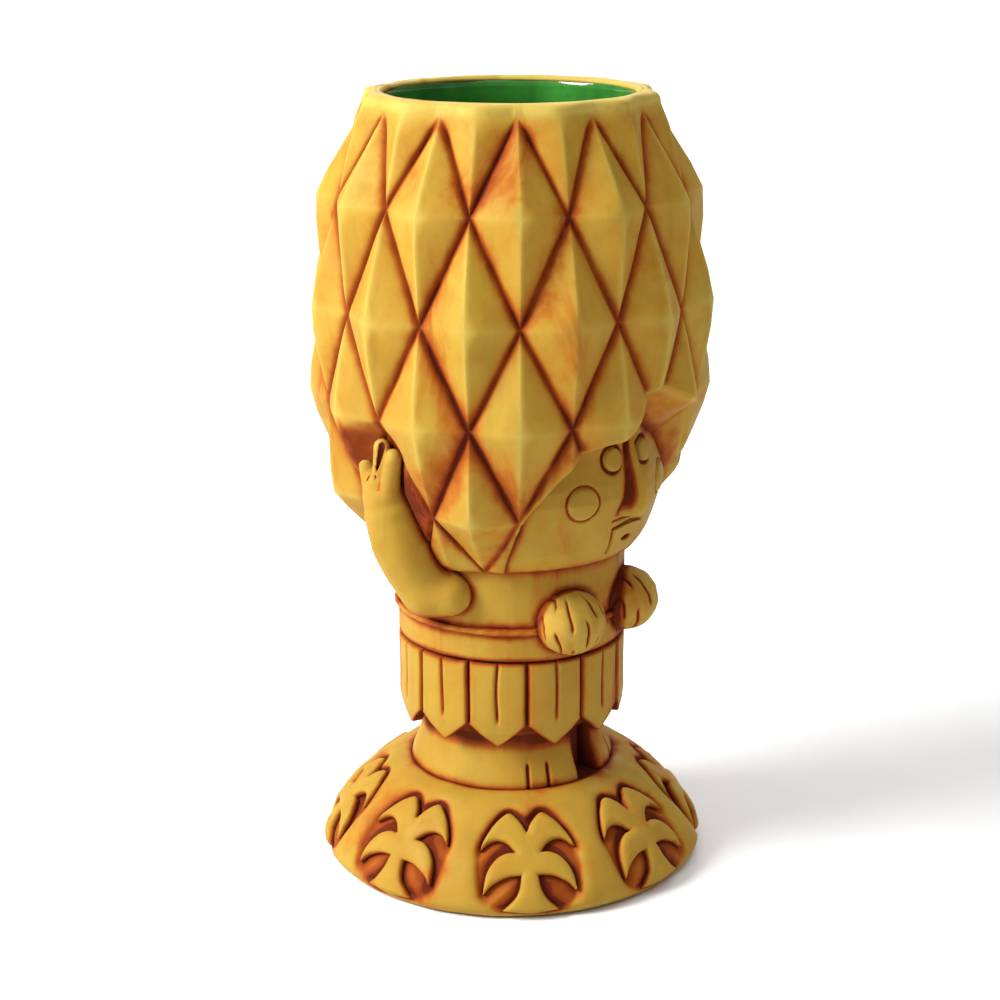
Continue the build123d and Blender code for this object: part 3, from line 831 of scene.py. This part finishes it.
def build_arm(name, side):
    """Raised arm: a forearm that ends in three slotted fingers, and a short upper arm to the torso."""
    fore = evenly(smooth_line(limb_line(FOREARM, side), 4), 4.0)
    upper = limb_line(UPPER_ARM, side)
    fingers = []
    for knuckle, bearing, radius, tip in FINGERS:
        root = (knuckle, KNUCKLE_R, KNUCKLE_Z, FINGER_R + 0.5)
        fingers.append(limb_line((root, (bearing, radius, tip - FINGER_R, FINGER_R - 0.4)), side))

    slots = []
    for a, b in zip(FINGERS, FINGERS[1:]):
        knuckle, bearing, radius, tip = [(p + q) / 2 for p, q in zip(a, b)]
        start = (knuckle, KNUCKLE_R + SLOT_LIFTS[0], SLOT_LOW_Z, SLOT_RADII[0])
        slots.append(limb_line((start, (bearing, radius + SLOT_LIFTS[1], tip, SLOT_RADII[1])), side))

    def field(x, y, z):
        p = np.stack([x, y, z], -1)
        body = blend_min(limb(p, fore), limb(p, upper), 3.0)
        hand = limb(p, fingers[0])
        for finger in fingers[1:]:
            hand = blend_min(hand, limb(p, finger), 0.2)
        body = blend_min(body, hand, 1.2)
        for slot in slots:
            body = blend_max(body, -limb(p, slot), 0.4)
        return body + 0.1 * ripple(p, 8.0, 31)

    spine = np.vstack([fore, upper] + fingers)
    low, high = bounds_of(spine[:, :3], 10.5)
    points, faces = voxel_mesh(low, high, 0.42, field)
    height = points[:, 2]
    wash_and_shade = 0.06 + 0.5 * (1 - step(75.5, 79, height))
    for slot in slots:
        wash_and_shade = np.maximum(wash_and_shade, step(0.3, 0.05, limb(points, slot)))
    keep(name, points, faces, wash_and_shade, 0.0, cavity=1.0)


# ---------------------------------------------------------------- coconuts and string
def build_coconut(name, side):
    """Half shell over the chest, scored with broken lines that run up and down like husk fibres."""
    centre_bearing = FACE_TURN + side * COCONUT_BEARING
    out = around(centre_bearing, 1.0, 0.0)
    across = np.array([-out[1], out[0], 0.0])
    middle = around(centre_bearing, COCONUT_R, COCONUT_Z)
    turns = np.linspace(0, 2 * math.pi, COCONUT_COLUMNS, endpoint=False)
    tilt, turn = np.meshgrid(np.radians(np.linspace(0.5, 104, 70)), turns, indexing="ij")
    x, z, depth = np.sin(tilt) * np.cos(turn), np.sin(tilt) * np.sin(turn), np.cos(tilt)
    meridian = np.arcsin(np.clip(x / np.sqrt(np.maximum(1 - 0.86 * z * z, 0.02)), -1, 1)) / (math.pi / 2)
    place = np.stack([x, z, depth], -1) * COCONUT_SIZE
    strand = meridian * 3.4 + 0.16 * ripple(place, 9.0, 41) + 0.25 * z
    saw = np.abs(strand - np.round(strand)) / 0.5
    long_enough = step(-0.75, 0.2, np.cos(2.4 * np.round(strand) + 3.9 * z + 0.6))
    cut = np.exp(-((saw / (0.06 + 0.13 * long_enough)) ** 2)) * long_enough * step(1.0, 0.8, np.abs(z))
    radius = COCONUT_SIZE * (1 - 0.02 * np.abs(z)) - 0.75 * cut + 0.12 * ripple(place, 3.0, 43)
    sizes = (radius * 1.03 * x, radius * 0.96 * z, radius * depth * 0.98)
    wide, tall, deep = [size[..., None] for size in sizes]
    points, faces = capped(middle + wide * across + tall * UP + deep * out)
    wash_and_shade = np.maximum(cut, 0.9 * step(0.15, -0.15, depth - 0.12)).reshape(-1)
    wear = (1 - cut).reshape(-1) * 0.3
    keep(name, points, faces, np.append(wash_and_shade, [0, 1]), np.append(wear, [0, 0]), cavity=0.3)


def build_string():
    """Slightly twisted cord round the torso."""
    turn = np.linspace(0, 2 * math.pi, 16, endpoint=False)
    radius = TORSO_RADIUS + STRING_LIFT + STRING_R * np.cos(turn)
    outline = np.stack([radius, STRING_Z + STRING_R * np.sin(turn)], -1)

    def twist(bearing, radius, height):
        angle = np.arctan2(height - STRING_Z, radius - TORSO_RADIUS - STRING_LIFT)
        strands = 0.06 * np.cos(2 * angle - np.radians(bearing) * 44)
        return strands + 0.1 * ripple(around(bearing, radius, height), 12.0, 51)

    points, faces = turned(outline, None, STRING_COLUMNS, twist, True)
    angle = np.arctan2(points[:, 2] - STRING_Z, radius_of(points) - TORSO_RADIUS - STRING_LIFT)
    wash_and_shade = 0.95 * np.clip(1 - np.cos(angle) * 1.3, 0, 1)
    keep("chest_string", points, faces, wash_and_shade, 0.0, cavity=0.3)


# ---------------------------------------------------------------- skirt and legs
def build_blade(number):
    """Leaf of the skirt, with a vein down its middle and a pointed tip."""
    bearing = (number - 1) * 360.0 / BLADES + SKIRT_TURN
    top, notch, tip = SKIRT_TOP, BLADE_NOTCH, BLADE_TIP
    rows = np.concatenate([np.arange(top, notch, -0.55), np.linspace(notch, tip, 26)])[:, None]
    pointed = np.clip((rows - tip + 0.4) / (notch - tip + 0.4), 0, 1) ** 0.9
    half = BLADE_HALF * np.where(rows > notch, 1.0, pointed)
    across = np.sin(np.linspace(-math.pi / 2, math.pi / 2, 57))
    x = across * half
    edge = (half - np.abs(x)) * np.where(rows > notch, 1.0, 0.8)
    z = rows + 0 * across
    place = around(bearing + np.degrees(x / TORSO_RADIUS), TORSO_RADIUS, z)
    wobble = 0.3 * ripple(place, 11.0, 61)
    vein = np.exp(-(((x - 0.4 * ripple(place, 14.0, 62)) / 0.42) ** 2)) * step(45.3, 48.5, z)
    lift = -rounded(np.maximum(edge, 0), 0.6) - 0.95 * vein + 0.35 * wobble
    lift -= rounded(np.maximum(top - z, 0), 0.7)
    lift -= 0.75 * np.exp(-((edge / 0.55) ** 2)) * (z > notch)
    radius = radius_at(SKIRT, z) + lift
    outer = around(bearing + np.degrees(x / TORSO_RADIUS), radius, z)
    inner = around(bearing + np.degrees(x / TORSO_RADIUS), radius_at(SKIRT, z) - 2.9, z)
    points, faces = slab(outer, inner)
    wash_and_shade = np.maximum(1.2 * vein, np.exp(-np.maximum(edge, 0) / 0.75))
    wash_and_shade = np.maximum(wash_and_shade, 0.8 * np.exp(-(top - z) / 0.8)).reshape(-1)
    keep("skirt_blade_%02d" % number, points, faces, with_back(wash_and_shade), 0.0, cavity=0.0)


def build_leg(name, side):
    """Half of the stem from a gap in front to a gap behind, with grooves between its toes."""
    front, back = LEG_GAP, 180 - LEG_GAP
    bearing = np.unique(np.concatenate([np.linspace(front, 60, 170), np.linspace(60, back, 130)]))
    line = evenly(smooth_line(LEG, 6), 0.5)
    turn, row = np.meshgrid(bearing, np.arange(len(line)))
    radius, height = line[row, 0], line[row, 1]
    edge = np.minimum(turn - front, back - turn) * math.pi / 180 * LEG_R
    toes = sum(np.exp(-(((turn - toe) * math.pi / 180 * TOE_R / 0.5) ** 2)) for toe in TOE_BEARINGS)
    toes = toes * (1 - step(31.5, 33.5, height))
    uneven = 0.12 * ripple(around(turn, radius, height), 9.0, 71)
    radius = radius - 1.1 * toes - rounded(np.maximum(edge, 0), 1.6) + uneven
    outer = around(side * turn, radius, height)
    inner = around(side * turn, LEG_INNER_R, height)
    points, faces = slab(outer, inner)
    if side < 0:
        faces = faces[:, ::-1]
    # Painted shadow of the skirt over the top of each leg, from 34.5 to 39.5 mm, on a light wash; the toe
    # grooves hold real wash
    wash_and_shade = np.maximum(1.2 * toes, 0.08 + step(34.5, 39.5, height))
    wash_and_shade = np.maximum(wash_and_shade, np.exp(-(height - SEAM) / 0.9))
    wash_and_shade = np.maximum(wash_and_shade, 0.9 * np.exp(-np.maximum(edge, 0) / 1.2)).reshape(-1)
    keep(name, points, faces, with_back(wash_and_shade), 0.0, cavity=0.0)


# ---------------------------------------------------------------- base and palm trees
def arc_at(height):
    """Length along the dome's outside from the foot to a height."""
    p = evenly(smooth_line(DOME[2:], 8), 0.3)
    length = np.concatenate([[0], np.cumsum(np.linalg.norm(np.diff(p, axis=0), axis=1))])
    rising = np.maximum.accumulate(p[:, 1])
    return np.interp(height, rising, length)


def dome_normal(bearing, height):
    line = evenly(smooth_line(DOME[3:], 8), 0.5)
    tangent = np.gradient(line, axis=0)
    tilt = np.interp(height, line[:, 1], np.arctan2(-tangent[:, 0], tangent[:, 1]))
    return around(bearing, np.cos(tilt), np.sin(tilt))


def dome_map(bearing, height):
    """Points of the dome laid flat, in millimetres."""
    return np.stack([np.radians(bearing) * radius_at(DOME[2:], height), arc_at(height)], -1)


def palm_outline(*runs):
    runs = [smooth_line(run, 6)[:-1] for run in runs] + [np.array(runs[-1][-1:])]
    outline = np.vstack(runs)
    return dome_map(outline[:, 0], outline[:, 1])


def palm_distance(bearing, height, outline):
    """Distance over the dome from the nearest palm's outline, positive inside it."""
    pitch = 360.0 / PALMS
    local = np.abs((bearing + pitch / 2) % pitch - pitch / 2)
    flat = dome_map(local, height)
    shape = flat.shape[:-1]
    flat = flat.reshape(-1, 2)
    distance = line_distance(flat, outline)
    return np.where(inside_outline(flat, outline), distance, -distance).reshape(shape)


def dome_relief(bearing, height):
    """Lift of the dome: sunk round each palm, less so further away, and flush beyond its hull."""
    outside = -palm_distance(bearing, height, PALM)
    beyond = np.maximum(-palm_distance(bearing, height, PALM_HULL), 0)
    on_side = step(0.8, 2.6, height) * (1 - step(24.0, 25.5, height))
    fade = np.exp(-np.maximum(outside, 0) / 5.0 - beyond / 1.0)
    return -PALM_DEPTH * fade * on_side


def build_base():
    """Dome with sunk palm grounds, closed underneath by its foot ring and hollow."""
    outside = evenly(smooth_line(DOME, 8), 0.55)
    hollow = evenly(np.array(DOME_HOLLOW), 3.0)
    foot = np.array([[42.6, FOOT_RECESS], [FOOT_RING_R + 0.3, 0.4], [FOOT_RING_R + 1.2, 0.0]])
    inner = np.array([[NECK_R + 1.0, SEAM], [NECK_R, SEAM]])
    columns = BASE_COLUMNS

    def relief(bearing, radius, height):
        shown = (radius > 27.5) & (height > 0.3)
        palms = np.where(shown, dome_relief(bearing, height), 0)
        return palms + 0.1 * ripple(around(bearing, radius, height), 12.0, 81) * shown

    points, faces = turned(outside, None, columns, relief)
    underside = np.vstack([outside[-1:], inner, hollow, foot, outside[:1]])
    shell, shell_faces = turned(underside, None, columns, None)
    first, rows = len(points), len(underside)
    between = np.arange(first, first + (rows - 2) * columns)
    ring = np.concatenate([np.arange(first - columns, first), between, np.arange(columns)])
    faces = np.vstack([faces, ring[shell_faces]])
    points = np.vstack([points, shell[columns:-columns]])
    bearing, height = bearing_of(points), points[:, 2]
    outside_tree = np.maximum(-palm_distance(bearing, height, PALM), 0)
    depth = -dome_relief(bearing, height) / PALM_DEPTH
    wash_and_shade = 0.88 * depth**0.85 + 0.38 * np.exp(-outside_tree / 1.3) * step(0.8, 2.6, height)
    wash_and_shade *= radius_of(points) > 27
    at_feet = np.exp(-np.maximum(radius_of(points) - 28.0, 0) / 1.2) * step(24, 25.5, height)
    wash_and_shade = np.maximum(wash_and_shade, at_feet)
    keep("base_dome", points, faces[:, ::-1], wash_and_shade, 0.0, cavity=0.0)


def build_palm(number):
    """Palm tree raised over the dome, cut from a grid along its outline."""
    middle = (number - 1) * 360.0 / PALMS
    heights = np.concatenate([np.arange(1.0, 8, 0.3), np.arange(8, 24.6, 0.32)])
    bearing, height = np.meshgrid(middle + np.arange(-18.2, 18.3, 0.5), heights)
    triangles = grid_faces(*bearing.shape)
    triangles = np.vstack([triangles[:, :3], triangles[:, [0, 2, 3]]])
    points = np.stack([bearing.reshape(-1), height.reshape(-1), 0 * bearing.reshape(-1)], -1)
    inside = palm_distance(points[:, 0], points[:, 1], PALM)
    points[:, 2] = inside
    for distance in (0.0, 0.25, 0.6, 1.0):
        points, triangles, _ = split(points, triangles, points[:, 2] - distance, distance == 0)
    used, index = np.unique(triangles, return_inverse=True)
    points, triangles = points[used], index.reshape(triangles.shape)
    bearing, height, inside = points.T
    shown = step(0.8, 2.6, height)
    lift = 0.12 + 0.25 * step(0.3, 2.0, inside) - rounded(np.maximum(inside, 0), 0.9) * (0.3 + 0.7 * shown)
    normal = dome_normal(bearing, height)
    outer = around(bearing, radius_at(DOME[2:], height), height) + lift[:, None] * normal
    edge = open_edges(triangles)
    layers, faces = [outer], [triangles]
    for run in edge:
        joined, _ = walls(run, 2, sum(map(len, layers)))
        layers += [outer[run] - 0.8 * normal[run], outer[run] - 2.4 * normal[run]]
        faces.append(joined)
    points = np.vstack(layers)
    wash_and_shade = np.ones(len(points))
    wash_and_shade[: len(outer)] = 0.45 * np.exp(-np.maximum(inside, 0) / 0.4) * shown
    keep("palm_tree_%d" % number, points, faces, wash_and_shade, 0.0, cavity=0.0)


# ---------------------------------------------------------------- wash stain from the shapes themselves
def triangles_of(faces):
    """All faces of a piece as triangles."""
    parts = faces if isinstance(faces, list) else [faces]
    found = []
    for part in parts:
        if part.shape[1] == 4:
            found += [part[:, :3], part[:, [0, 2, 3]]]
        else:
            found.append(part)
    return np.vstack(found)


def smoothed(values, edges, counts, rounds):
    for _ in range(rounds):
        total = np.stack([
            np.bincount(edges[:, 0], values[edges[:, 1], k], len(values))
            + np.bincount(edges[:, 1], values[edges[:, 0], k], len(values)) for k in range(values.shape[1])
        ], -1)
        values = 0.5 * values + 0.5 * total / counts
    return values


def add_cavities(piece):
    """Adds stain where the surface is hollow and wear where it stands out."""
    points, triangles = piece["points"], triangles_of(piece["faces"])
    edges = np.vstack([triangles[:, [0, 1]], triangles[:, [1, 2]], triangles[:, [2, 0]]])
    edges = np.unique(np.sort(edges, axis=1), axis=0)
    counts = np.bincount(edges.reshape(-1), minlength=len(points)).clip(1)[:, None]
    corner = points[triangles]
    face_normal = np.cross(corner[:, 1] - corner[:, 0], corner[:, 2] - corner[:, 0])
    normal = np.stack([
        sum(np.bincount(triangles[:, c], face_normal[:, k], len(points)) for c in range(3))
        for k in range(3)
    ], -1)
    normal /= np.linalg.norm(normal, axis=1, keepdims=True) + 1e-12
    hollow = ((smoothed(points, edges, counts, 12) - points) * normal).sum(1, keepdims=True)
    hollow = smoothed(hollow, edges, counts, 2)[:, 0] * piece["cavity"]
    piece["wash_and_shade"] += 1.3 * step(0.03, 0.24, hollow)
    piece["wear"] += 0.8 * step(0.05, 0.3, -hollow)


def add_contact_stain():
    """Adds stain along the creases where one piece meets another."""
    trees, boxes = {}, {}
    for name, piece in clay.items():
        points = piece["points"]
        trees[name] = BVHTree.FromPolygons(points.tolist(), triangles_of(piece["faces"]).tolist())
        boxes[name] = (points.min(0) - CONTACT_REACH, points.max(0) + CONTACT_REACH)
    for name, piece in clay.items():
        points = piece["points"]
        nearest = np.full(len(points), CONTACT_REACH)
        for other, tree in trees.items():
            if other == name or {name, other} in NO_CONTACT:
                continue
            low, high = boxes[other]
            close = np.flatnonzero(((points > low) & (points < high)).all(1) & (points[:, 2] < TOP - 6))
            for index in close:
                found = tree.find_nearest(points[index].tolist(), CONTACT_REACH)
                if found[0] is not None:
                    nearest[index] = min(nearest[index], found[3])
        crease = np.exp(-nearest / CONTACT_FADE)
        crease = crease * (1 - step(CONTACT_REACH * 0.6, CONTACT_REACH, nearest))
        if name.endswith("_arm"):
            crease *= 1 - 0.85 * step(KNUCKLE_Z, KNUCKLE_Z + 4, points[:, 2])
        piece["wash_and_shade"] = np.maximum(piece["wash_and_shade"], CONTACT_STRENGTH * crease)


# ---------------------------------------------------------------- all clay pieces
OPENING = hair_opening()
PALM, PALM_HULL = palm_outline(*PALM_RUNS), palm_outline(PALM_HULL_TIPS)

build_hair()
build_cup()
build_face()
build_nose()
build_mouth()
for word, side in (("left", 1), ("right", -1)):
    build_disc(word + "_eye", side, EYE, 1.0, 0.25)
    build_disc(word + "_cheek", side, CHEEK, 0.45, 0.1)
    build_arm(word + "_arm", side)
    build_coconut(word + "_coconut", side)
    build_leg(word + "_leg", side)
build_string()
for number in range(1, BLADES + 1):
    build_blade(number)
build_base()
for number in range(1, PALMS + 1):
    build_palm(number)
for piece in clay.values():
    if piece["cavity"]:
        add_cavities(piece)
add_contact_stain()


# ---------------------------------------------------------------- materials
# Colours, as linear red, green and blue
YELLOW, YELLOW_PALE, YELLOW_DEEP = (0.43, 0.250, 0.026), (0.46, 0.300, 0.036), (0.40, 0.205, 0.020)
# The last of these is painted shade for the lower parts of the mug
YELLOW_OCHRE, YELLOW_OLIVE, YELLOW_PAINTED_SHADE_LOW = (0.38, 0.155, 0.012), (0.27, 0.175, 0.020), (0.35, 0.215, 0.025)
YELLOW_WORN = (0.50, 0.365, 0.070)
# Wash colours: the real wash in hollows and creases, and also the painted shade under the hair, the skirt
# and the hands
WASH_AND_SHADE_THIN, WASH_AND_SHADE_ORANGE, WASH_AND_SHADE_RUST = (0.41, 0.175, 0.015), (0.37, 0.110, 0.007), (0.27, 0.050, 0.003)
WASH_AND_SHADE_BROWN, WASH_AND_SHADE_DARK = (0.19, 0.028, 0.002), (0.11, 0.014, 0.0015)
GREEN_DEEP, GREEN, GREEN_PALE = (0.016, 0.10, 0.014), (0.035, 0.20, 0.026), (0.07, 0.31, 0.045)


class Nodes:
    """Short calls to add and join shader nodes."""

    def __init__(self, name):
        self.material = bpy.data.materials.new(name)
        self.material.use_nodes = True
        self.tree = self.material.node_tree
        self.shader = self.tree.nodes["Principled BSDF"]
        self.place = self.tree.nodes.new("ShaderNodeTexCoord").outputs["Object"]

    def add(self, kind, **settings):
        node = self.tree.nodes.new("ShaderNode" + kind)
        for key, value in settings.items():
            setattr(node, key, value)
        return node

    def put(self, socket, value):
        if isinstance(value, bpy.types.NodeSocket):
            self.tree.links.new(value, socket)
        else:
            socket.default_value = value

    def noise(self, scale, detail=4.0, stretch=(1, 1, 1), rough=0.55, distort=0.0):
        mapping = self.add("Mapping")
        self.put(mapping.inputs["Vector"], self.place)
        mapping.inputs["Scale"].default_value = stretch
        node = self.add("TexNoise")
        self.put(node.inputs["Vector"], mapping.outputs[0])
        settings = {"Scale": scale, "Detail": detail, "Roughness": rough, "Distortion": distort}
        for socket, value in settings.items():
            node.inputs[socket].default_value = value
        return node.outputs["Fac"]

    def math(self, operation, a, b=0.0, clamp=False):
        node = self.add("Math", operation=operation, use_clamp=clamp)
        self.put(node.inputs[0], a)
        self.put(node.inputs[1], b)
        return node.outputs[0]

    def span(self, value, low, high, to_low=0.0, to_high=1.0):
        node = self.add("MapRange", clamp=True)
        node.interpolation_type = "SMOOTHSTEP"
        for socket, v in zip(node.inputs, (value, low, high, to_low, to_high)):
            self.put(socket, v)
        return node.outputs[0]

    def ramp(self, value, stops):
        node = self.add("ValToRGB")
        elements = node.color_ramp.elements
        while len(elements) < len(stops):
            elements.new(0.5)
        for element, (position, colour) in zip(elements, stops):
            element.position = position
            element.color = (*colour, 1.0)
        self.put(node.inputs[0], value)
        return node.outputs["Color"]

    def mix(self, share, a, b, blend="MIX"):
        node = self.add("Mix", data_type="RGBA", blend_type=blend)
        self.put(node.inputs[0], share)
        for socket, value in ((node.inputs[6], a), (node.inputs[7], b)):
            self.put(socket, value if isinstance(value, bpy.types.NodeSocket) else (*value, 1.0))
        return node.outputs[2]

    def attribute(self, name):
        return self.add("Attribute", attribute_name=name).outputs["Fac"]

    def bump(self, height, distance, normal=None):
        node = self.add("Bump")
        node.inputs["Strength"].default_value = 1.0
        node.inputs["Distance"].default_value = distance
        self.put(node.inputs["Height"], height)
        if normal is not None:
            self.put(node.inputs["Normal"], normal)
        return node.outputs[0]


def make_clay():
    """Yellow-glazed pottery with a rust-brown wash left in every hollow and wiped off the high parts.
    The wash colours also paint shade under the hair, the skirt and the hands, and the yellow is
    painted darker towards the bottom.
    """
    n = Nodes("stained_clay")
    broad, mottle, grain = n.noise(22, 3), n.noise(110, 5), n.noise(900, 3)
    brush = n.noise(160, 4, (1.0, 1.0, 0.12), 0.6)
    height = n.add("SeparateXYZ")
    n.put(height.inputs[0], n.place)
    yellow = n.ramp(broad, ((0.3, YELLOW_DEEP), (0.52, YELLOW), (0.72, YELLOW_PALE)))
    yellow = n.mix(n.span(mottle, 0.42, 0.72, 0.0, 0.65), yellow, YELLOW_OCHRE)
    yellow = n.mix(n.span(brush, 0.47, 0.75, 0.0, 0.6), yellow, YELLOW_OLIVE)
    # Painted shade: the clay darkens towards the bottom, from 19 cm down to 10 cm and below
    yellow = n.mix(n.span(height.outputs["Z"], 0.10, 0.19, 0.42, 0.0), yellow, YELLOW_PAINTED_SHADE_LOW)
    worn = n.math("MULTIPLY", n.attribute("wear"), n.span(mottle, 0.25, 0.6, 0.45, 1.0), True)
    yellow = n.mix(worn, yellow, YELLOW_WORN)
    mottle_share = n.math("MULTIPLY", n.math("SUBTRACT", mottle, 0.5), 0.55)
    brush_share = n.math("MULTIPLY", n.math("SUBTRACT", brush, 0.5), 0.5)
    uneven = n.math("ADD", mottle_share, brush_share)
    patches = n.span(n.noise(45, 5, (1.0, 1.0, 0.45), 0.62, 0.6), 0.45, 0.76, 0.0, 0.5)
    wash_and_shade = n.attribute("wash_and_shade")
    amount = n.math("ADD", wash_and_shade, n.math("MULTIPLY", uneven, n.span(wash_and_shade, 0.0, 0.5, 0.2, 1.0)))
    amount = n.math("ADD", amount, patches, True)
    stops = ((0.1, WASH_AND_SHADE_THIN), (0.4, WASH_AND_SHADE_ORANGE), (0.72, WASH_AND_SHADE_RUST), (0.93, WASH_AND_SHADE_BROWN), (1.0, WASH_AND_SHADE_DARK))
    # Wash colours, which also paint the shade under the hair, the skirt and the hands
    wash_and_shade_colour = n.ramp(amount, stops)
    colour = n.mix(n.span(amount, 0.06, 0.62), yellow, wash_and_shade_colour)
    hole = n.add("TexVoronoi", feature="F1")
    n.put(hole.inputs["Vector"], n.place)
    hole.inputs["Scale"].default_value = 75.0
    in_hole = n.span(hole.outputs["Distance"], 0.018, 0.03, 1.0, 0.0)
    pinhole = n.math("MULTIPLY", in_hole, n.span(n.noise(13, 2), 0.56, 0.6))
    colour = n.mix(pinhole, colour, WASH_AND_SHADE_DARK)
    n.put(n.shader.inputs["Base Color"], colour)
    rough = n.span(mottle, 0.3, 0.7, 0.5, 0.66)
    rough = n.math("ADD", rough, n.math("MULTIPLY", amount, 0.22), True)
    n.put(n.shader.inputs["Roughness"], rough)
    relief = n.math("ADD", n.math("MULTIPLY", mottle, 0.6), n.math("MULTIPLY", grain, 0.16))
    relief = n.math("SUBTRACT", relief, n.math("MULTIPLY", pinhole, 1.2))
    n.put(n.shader.inputs["Normal"], n.bump(relief, 0.00028))
    n.shader.inputs["Specular IOR Level"].default_value = 0.14
    return n.material


def make_glaze():
    """Glossy green glaze, clouded and flecked darker."""
    n = Nodes("green_glaze")
    cloud, speck = n.noise(60, 5, (1, 1, 0.4)), n.noise(420, 3)
    colour = n.ramp(cloud, ((0.3, GREEN_DEEP), (0.55, GREEN), (0.75, GREEN_PALE)))
    colour = n.mix(n.span(speck, 0.55, 0.8, 0.0, 0.35), colour, GREEN_DEEP)
    n.put(n.shader.inputs["Base Color"], colour)
    n.put(n.shader.inputs["Roughness"], n.span(speck, 0.3, 0.7, 0.06, 0.16))
    n.put(n.shader.inputs["Normal"], n.bump(cloud, 0.0006))
    n.shader.inputs["Coat Weight"].default_value = 0.6
    n.shader.inputs["Coat Roughness"].default_value = 0.04
    return n.material


# ---------------------------------------------------------------- Blender objects
def to_object(name, points, faces, material, slot_name):
    mesh = bpy.data.meshes.new(name)
    parts = faces if isinstance(faces, list) else [faces]
    polygons = [polygon for part in parts for polygon in np.asarray(part).tolist()]
    mesh.from_pydata((np.asarray(points) * METRE).tolist(), [], polygons)
    mesh.update()
    mesh.materials.append(material)
    mesh.shade_smooth()
    shape = bpy.data.objects.new("mug_" + name, mesh)
    bpy.context.collection.objects.link(shape)
    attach(shape, "root")
    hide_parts(name)
    return shape


clay_material, glaze_material = make_clay(), make_glaze()
for name, piece in clay.items():
    shape = to_object(name, piece["points"], piece["faces"], clay_material, "stained_clay")
    for key in ("wash_and_shade", "wear"):
        layer = shape.data.attributes.new(key, "FLOAT", "POINT")
        layer.data.foreach_set("value", np.clip(piece[key], 0, 1.3).astype(np.float32))
to_object("glaze_lining", *build_glaze(), glaze_material, "green_glaze")


# ---------------------------------------------------------------- floor, light and camera
# Brightness of the surround by the height of the direction, from the horizon to straight up
SURROUND = ((0.0, 0.7), (0.06, 0.5), (0.14, 0.1), (0.4, 0.18), (0.75, 0.8), (1.0, 1.0))
SURROUND_STRENGTH = 1.15
# Lights, as (name, bearing from the camera, distance, height, disc size, watts)
LIGHTS = (
    ("key", -70, 1.0, 0.78, 0.6, 25.0), ("backdrop", 180, 3.0, 1.6, 1.5, 60.0),
    ("glint", 150, 0.9, 0.75, 0.16, 1.0),
)


def make_floor():
    bm = bmesh.new()
    bmesh.ops.create_grid(bm, x_segments=1, y_segments=1, size=6.0)
    mesh = bpy.data.meshes.new("floor")
    bm.to_mesh(mesh)
    bm.free()
    n = Nodes("floor_paper")
    n.put(n.shader.inputs["Base Color"], n.ramp(n.noise(30, 3), ((0.3, (0.84,) * 3), (0.7, (0.86,) * 3))))
    n.shader.inputs["Roughness"].default_value = 0.85
    mesh.materials.append(n.material)
    floor = bpy.data.objects.new("floor", mesh)
    bpy.context.collection.objects.link(floor)


def make_light(name, place, target, size, watts):
    lamp = bpy.data.lights.new(name, "AREA")
    lamp.shape, lamp.size, lamp.energy = "DISK", size, watts
    shape = bpy.data.objects.new(name, lamp)
    shape.location = place
    shape.rotation_euler = (Vector(target) - Vector(place)).to_track_quat("-Z", "Y").to_euler()
    bpy.context.collection.objects.link(shape)


def make_world():
    """Soft studio surround: a bright ceiling over dim walls, and paper that reaches the horizon."""
    world = bpy.data.worlds.new("studio")
    world.use_nodes = True
    tree = world.node_tree
    place = tree.nodes.new("ShaderNodeTexCoord").outputs["Generated"]
    split_place = tree.nodes.new("ShaderNodeSeparateXYZ")
    ramp = tree.nodes.new("ShaderNodeValToRGB")
    tree.links.new(place, split_place.inputs[0])
    tree.links.new(split_place.outputs["Z"], ramp.inputs[0])
    tree.links.new(ramp.outputs["Color"], tree.nodes["Background"].inputs["Color"])
    elements = ramp.color_ramp.elements
    while len(elements) < len(SURROUND):
        elements.new(0.5)
    for element, (height, level) in zip(elements, SURROUND):
        element.position, element.color = height, (level, level, level, 1.0)
    tree.nodes["Background"].inputs["Strength"].default_value = SURROUND_STRENGTH
    bpy.context.scene.world = world


# Camera and lights stand at bearings from the front of the figure, in metres and degrees
CAMERA_BEARING, CAMERA_DISTANCE, CAMERA_HEIGHT = -50.5, 0.5731, 0.2706
CAMERA_TURN, CAMERA_TILT, CAMERA_ROLL = -50.2, 73.37, -0.27
CAMERA_LENS, CAMERA_SENSOR = 79.27, 36.0

camera = bpy.data.cameras.new("camera")
camera.lens, camera.sensor_width = CAMERA_LENS, CAMERA_SENSOR
view = bpy.data.objects.new("camera", camera)
stand = around(CAMERA_BEARING, CAMERA_DISTANCE, CAMERA_HEIGHT)
stance = Matrix.Translation(Vector(stand.tolist()))
for angle, axis in ((CAMERA_TURN, "Z"), (CAMERA_TILT, "X"), (CAMERA_ROLL, "Z")):
    stance = stance @ Matrix.Rotation(math.radians(angle), 4, axis)
view.matrix_world = stance
bpy.context.collection.objects.link(view)
bpy.context.scene.camera = view
bpy.context.scene.view_settings.view_transform = "Standard"

make_floor()
make_world()
middle = (0.0, 0.0, TOP * METRE / 2)
for name, bearing, distance, height, size, watts in LIGHTS:
    place = around(CAMERA_BEARING + bearing, distance, height)
    target = place * (1, 1, 0) if name == "backdrop" else middle
    make_light(name, place.tolist(), target, size, watts)
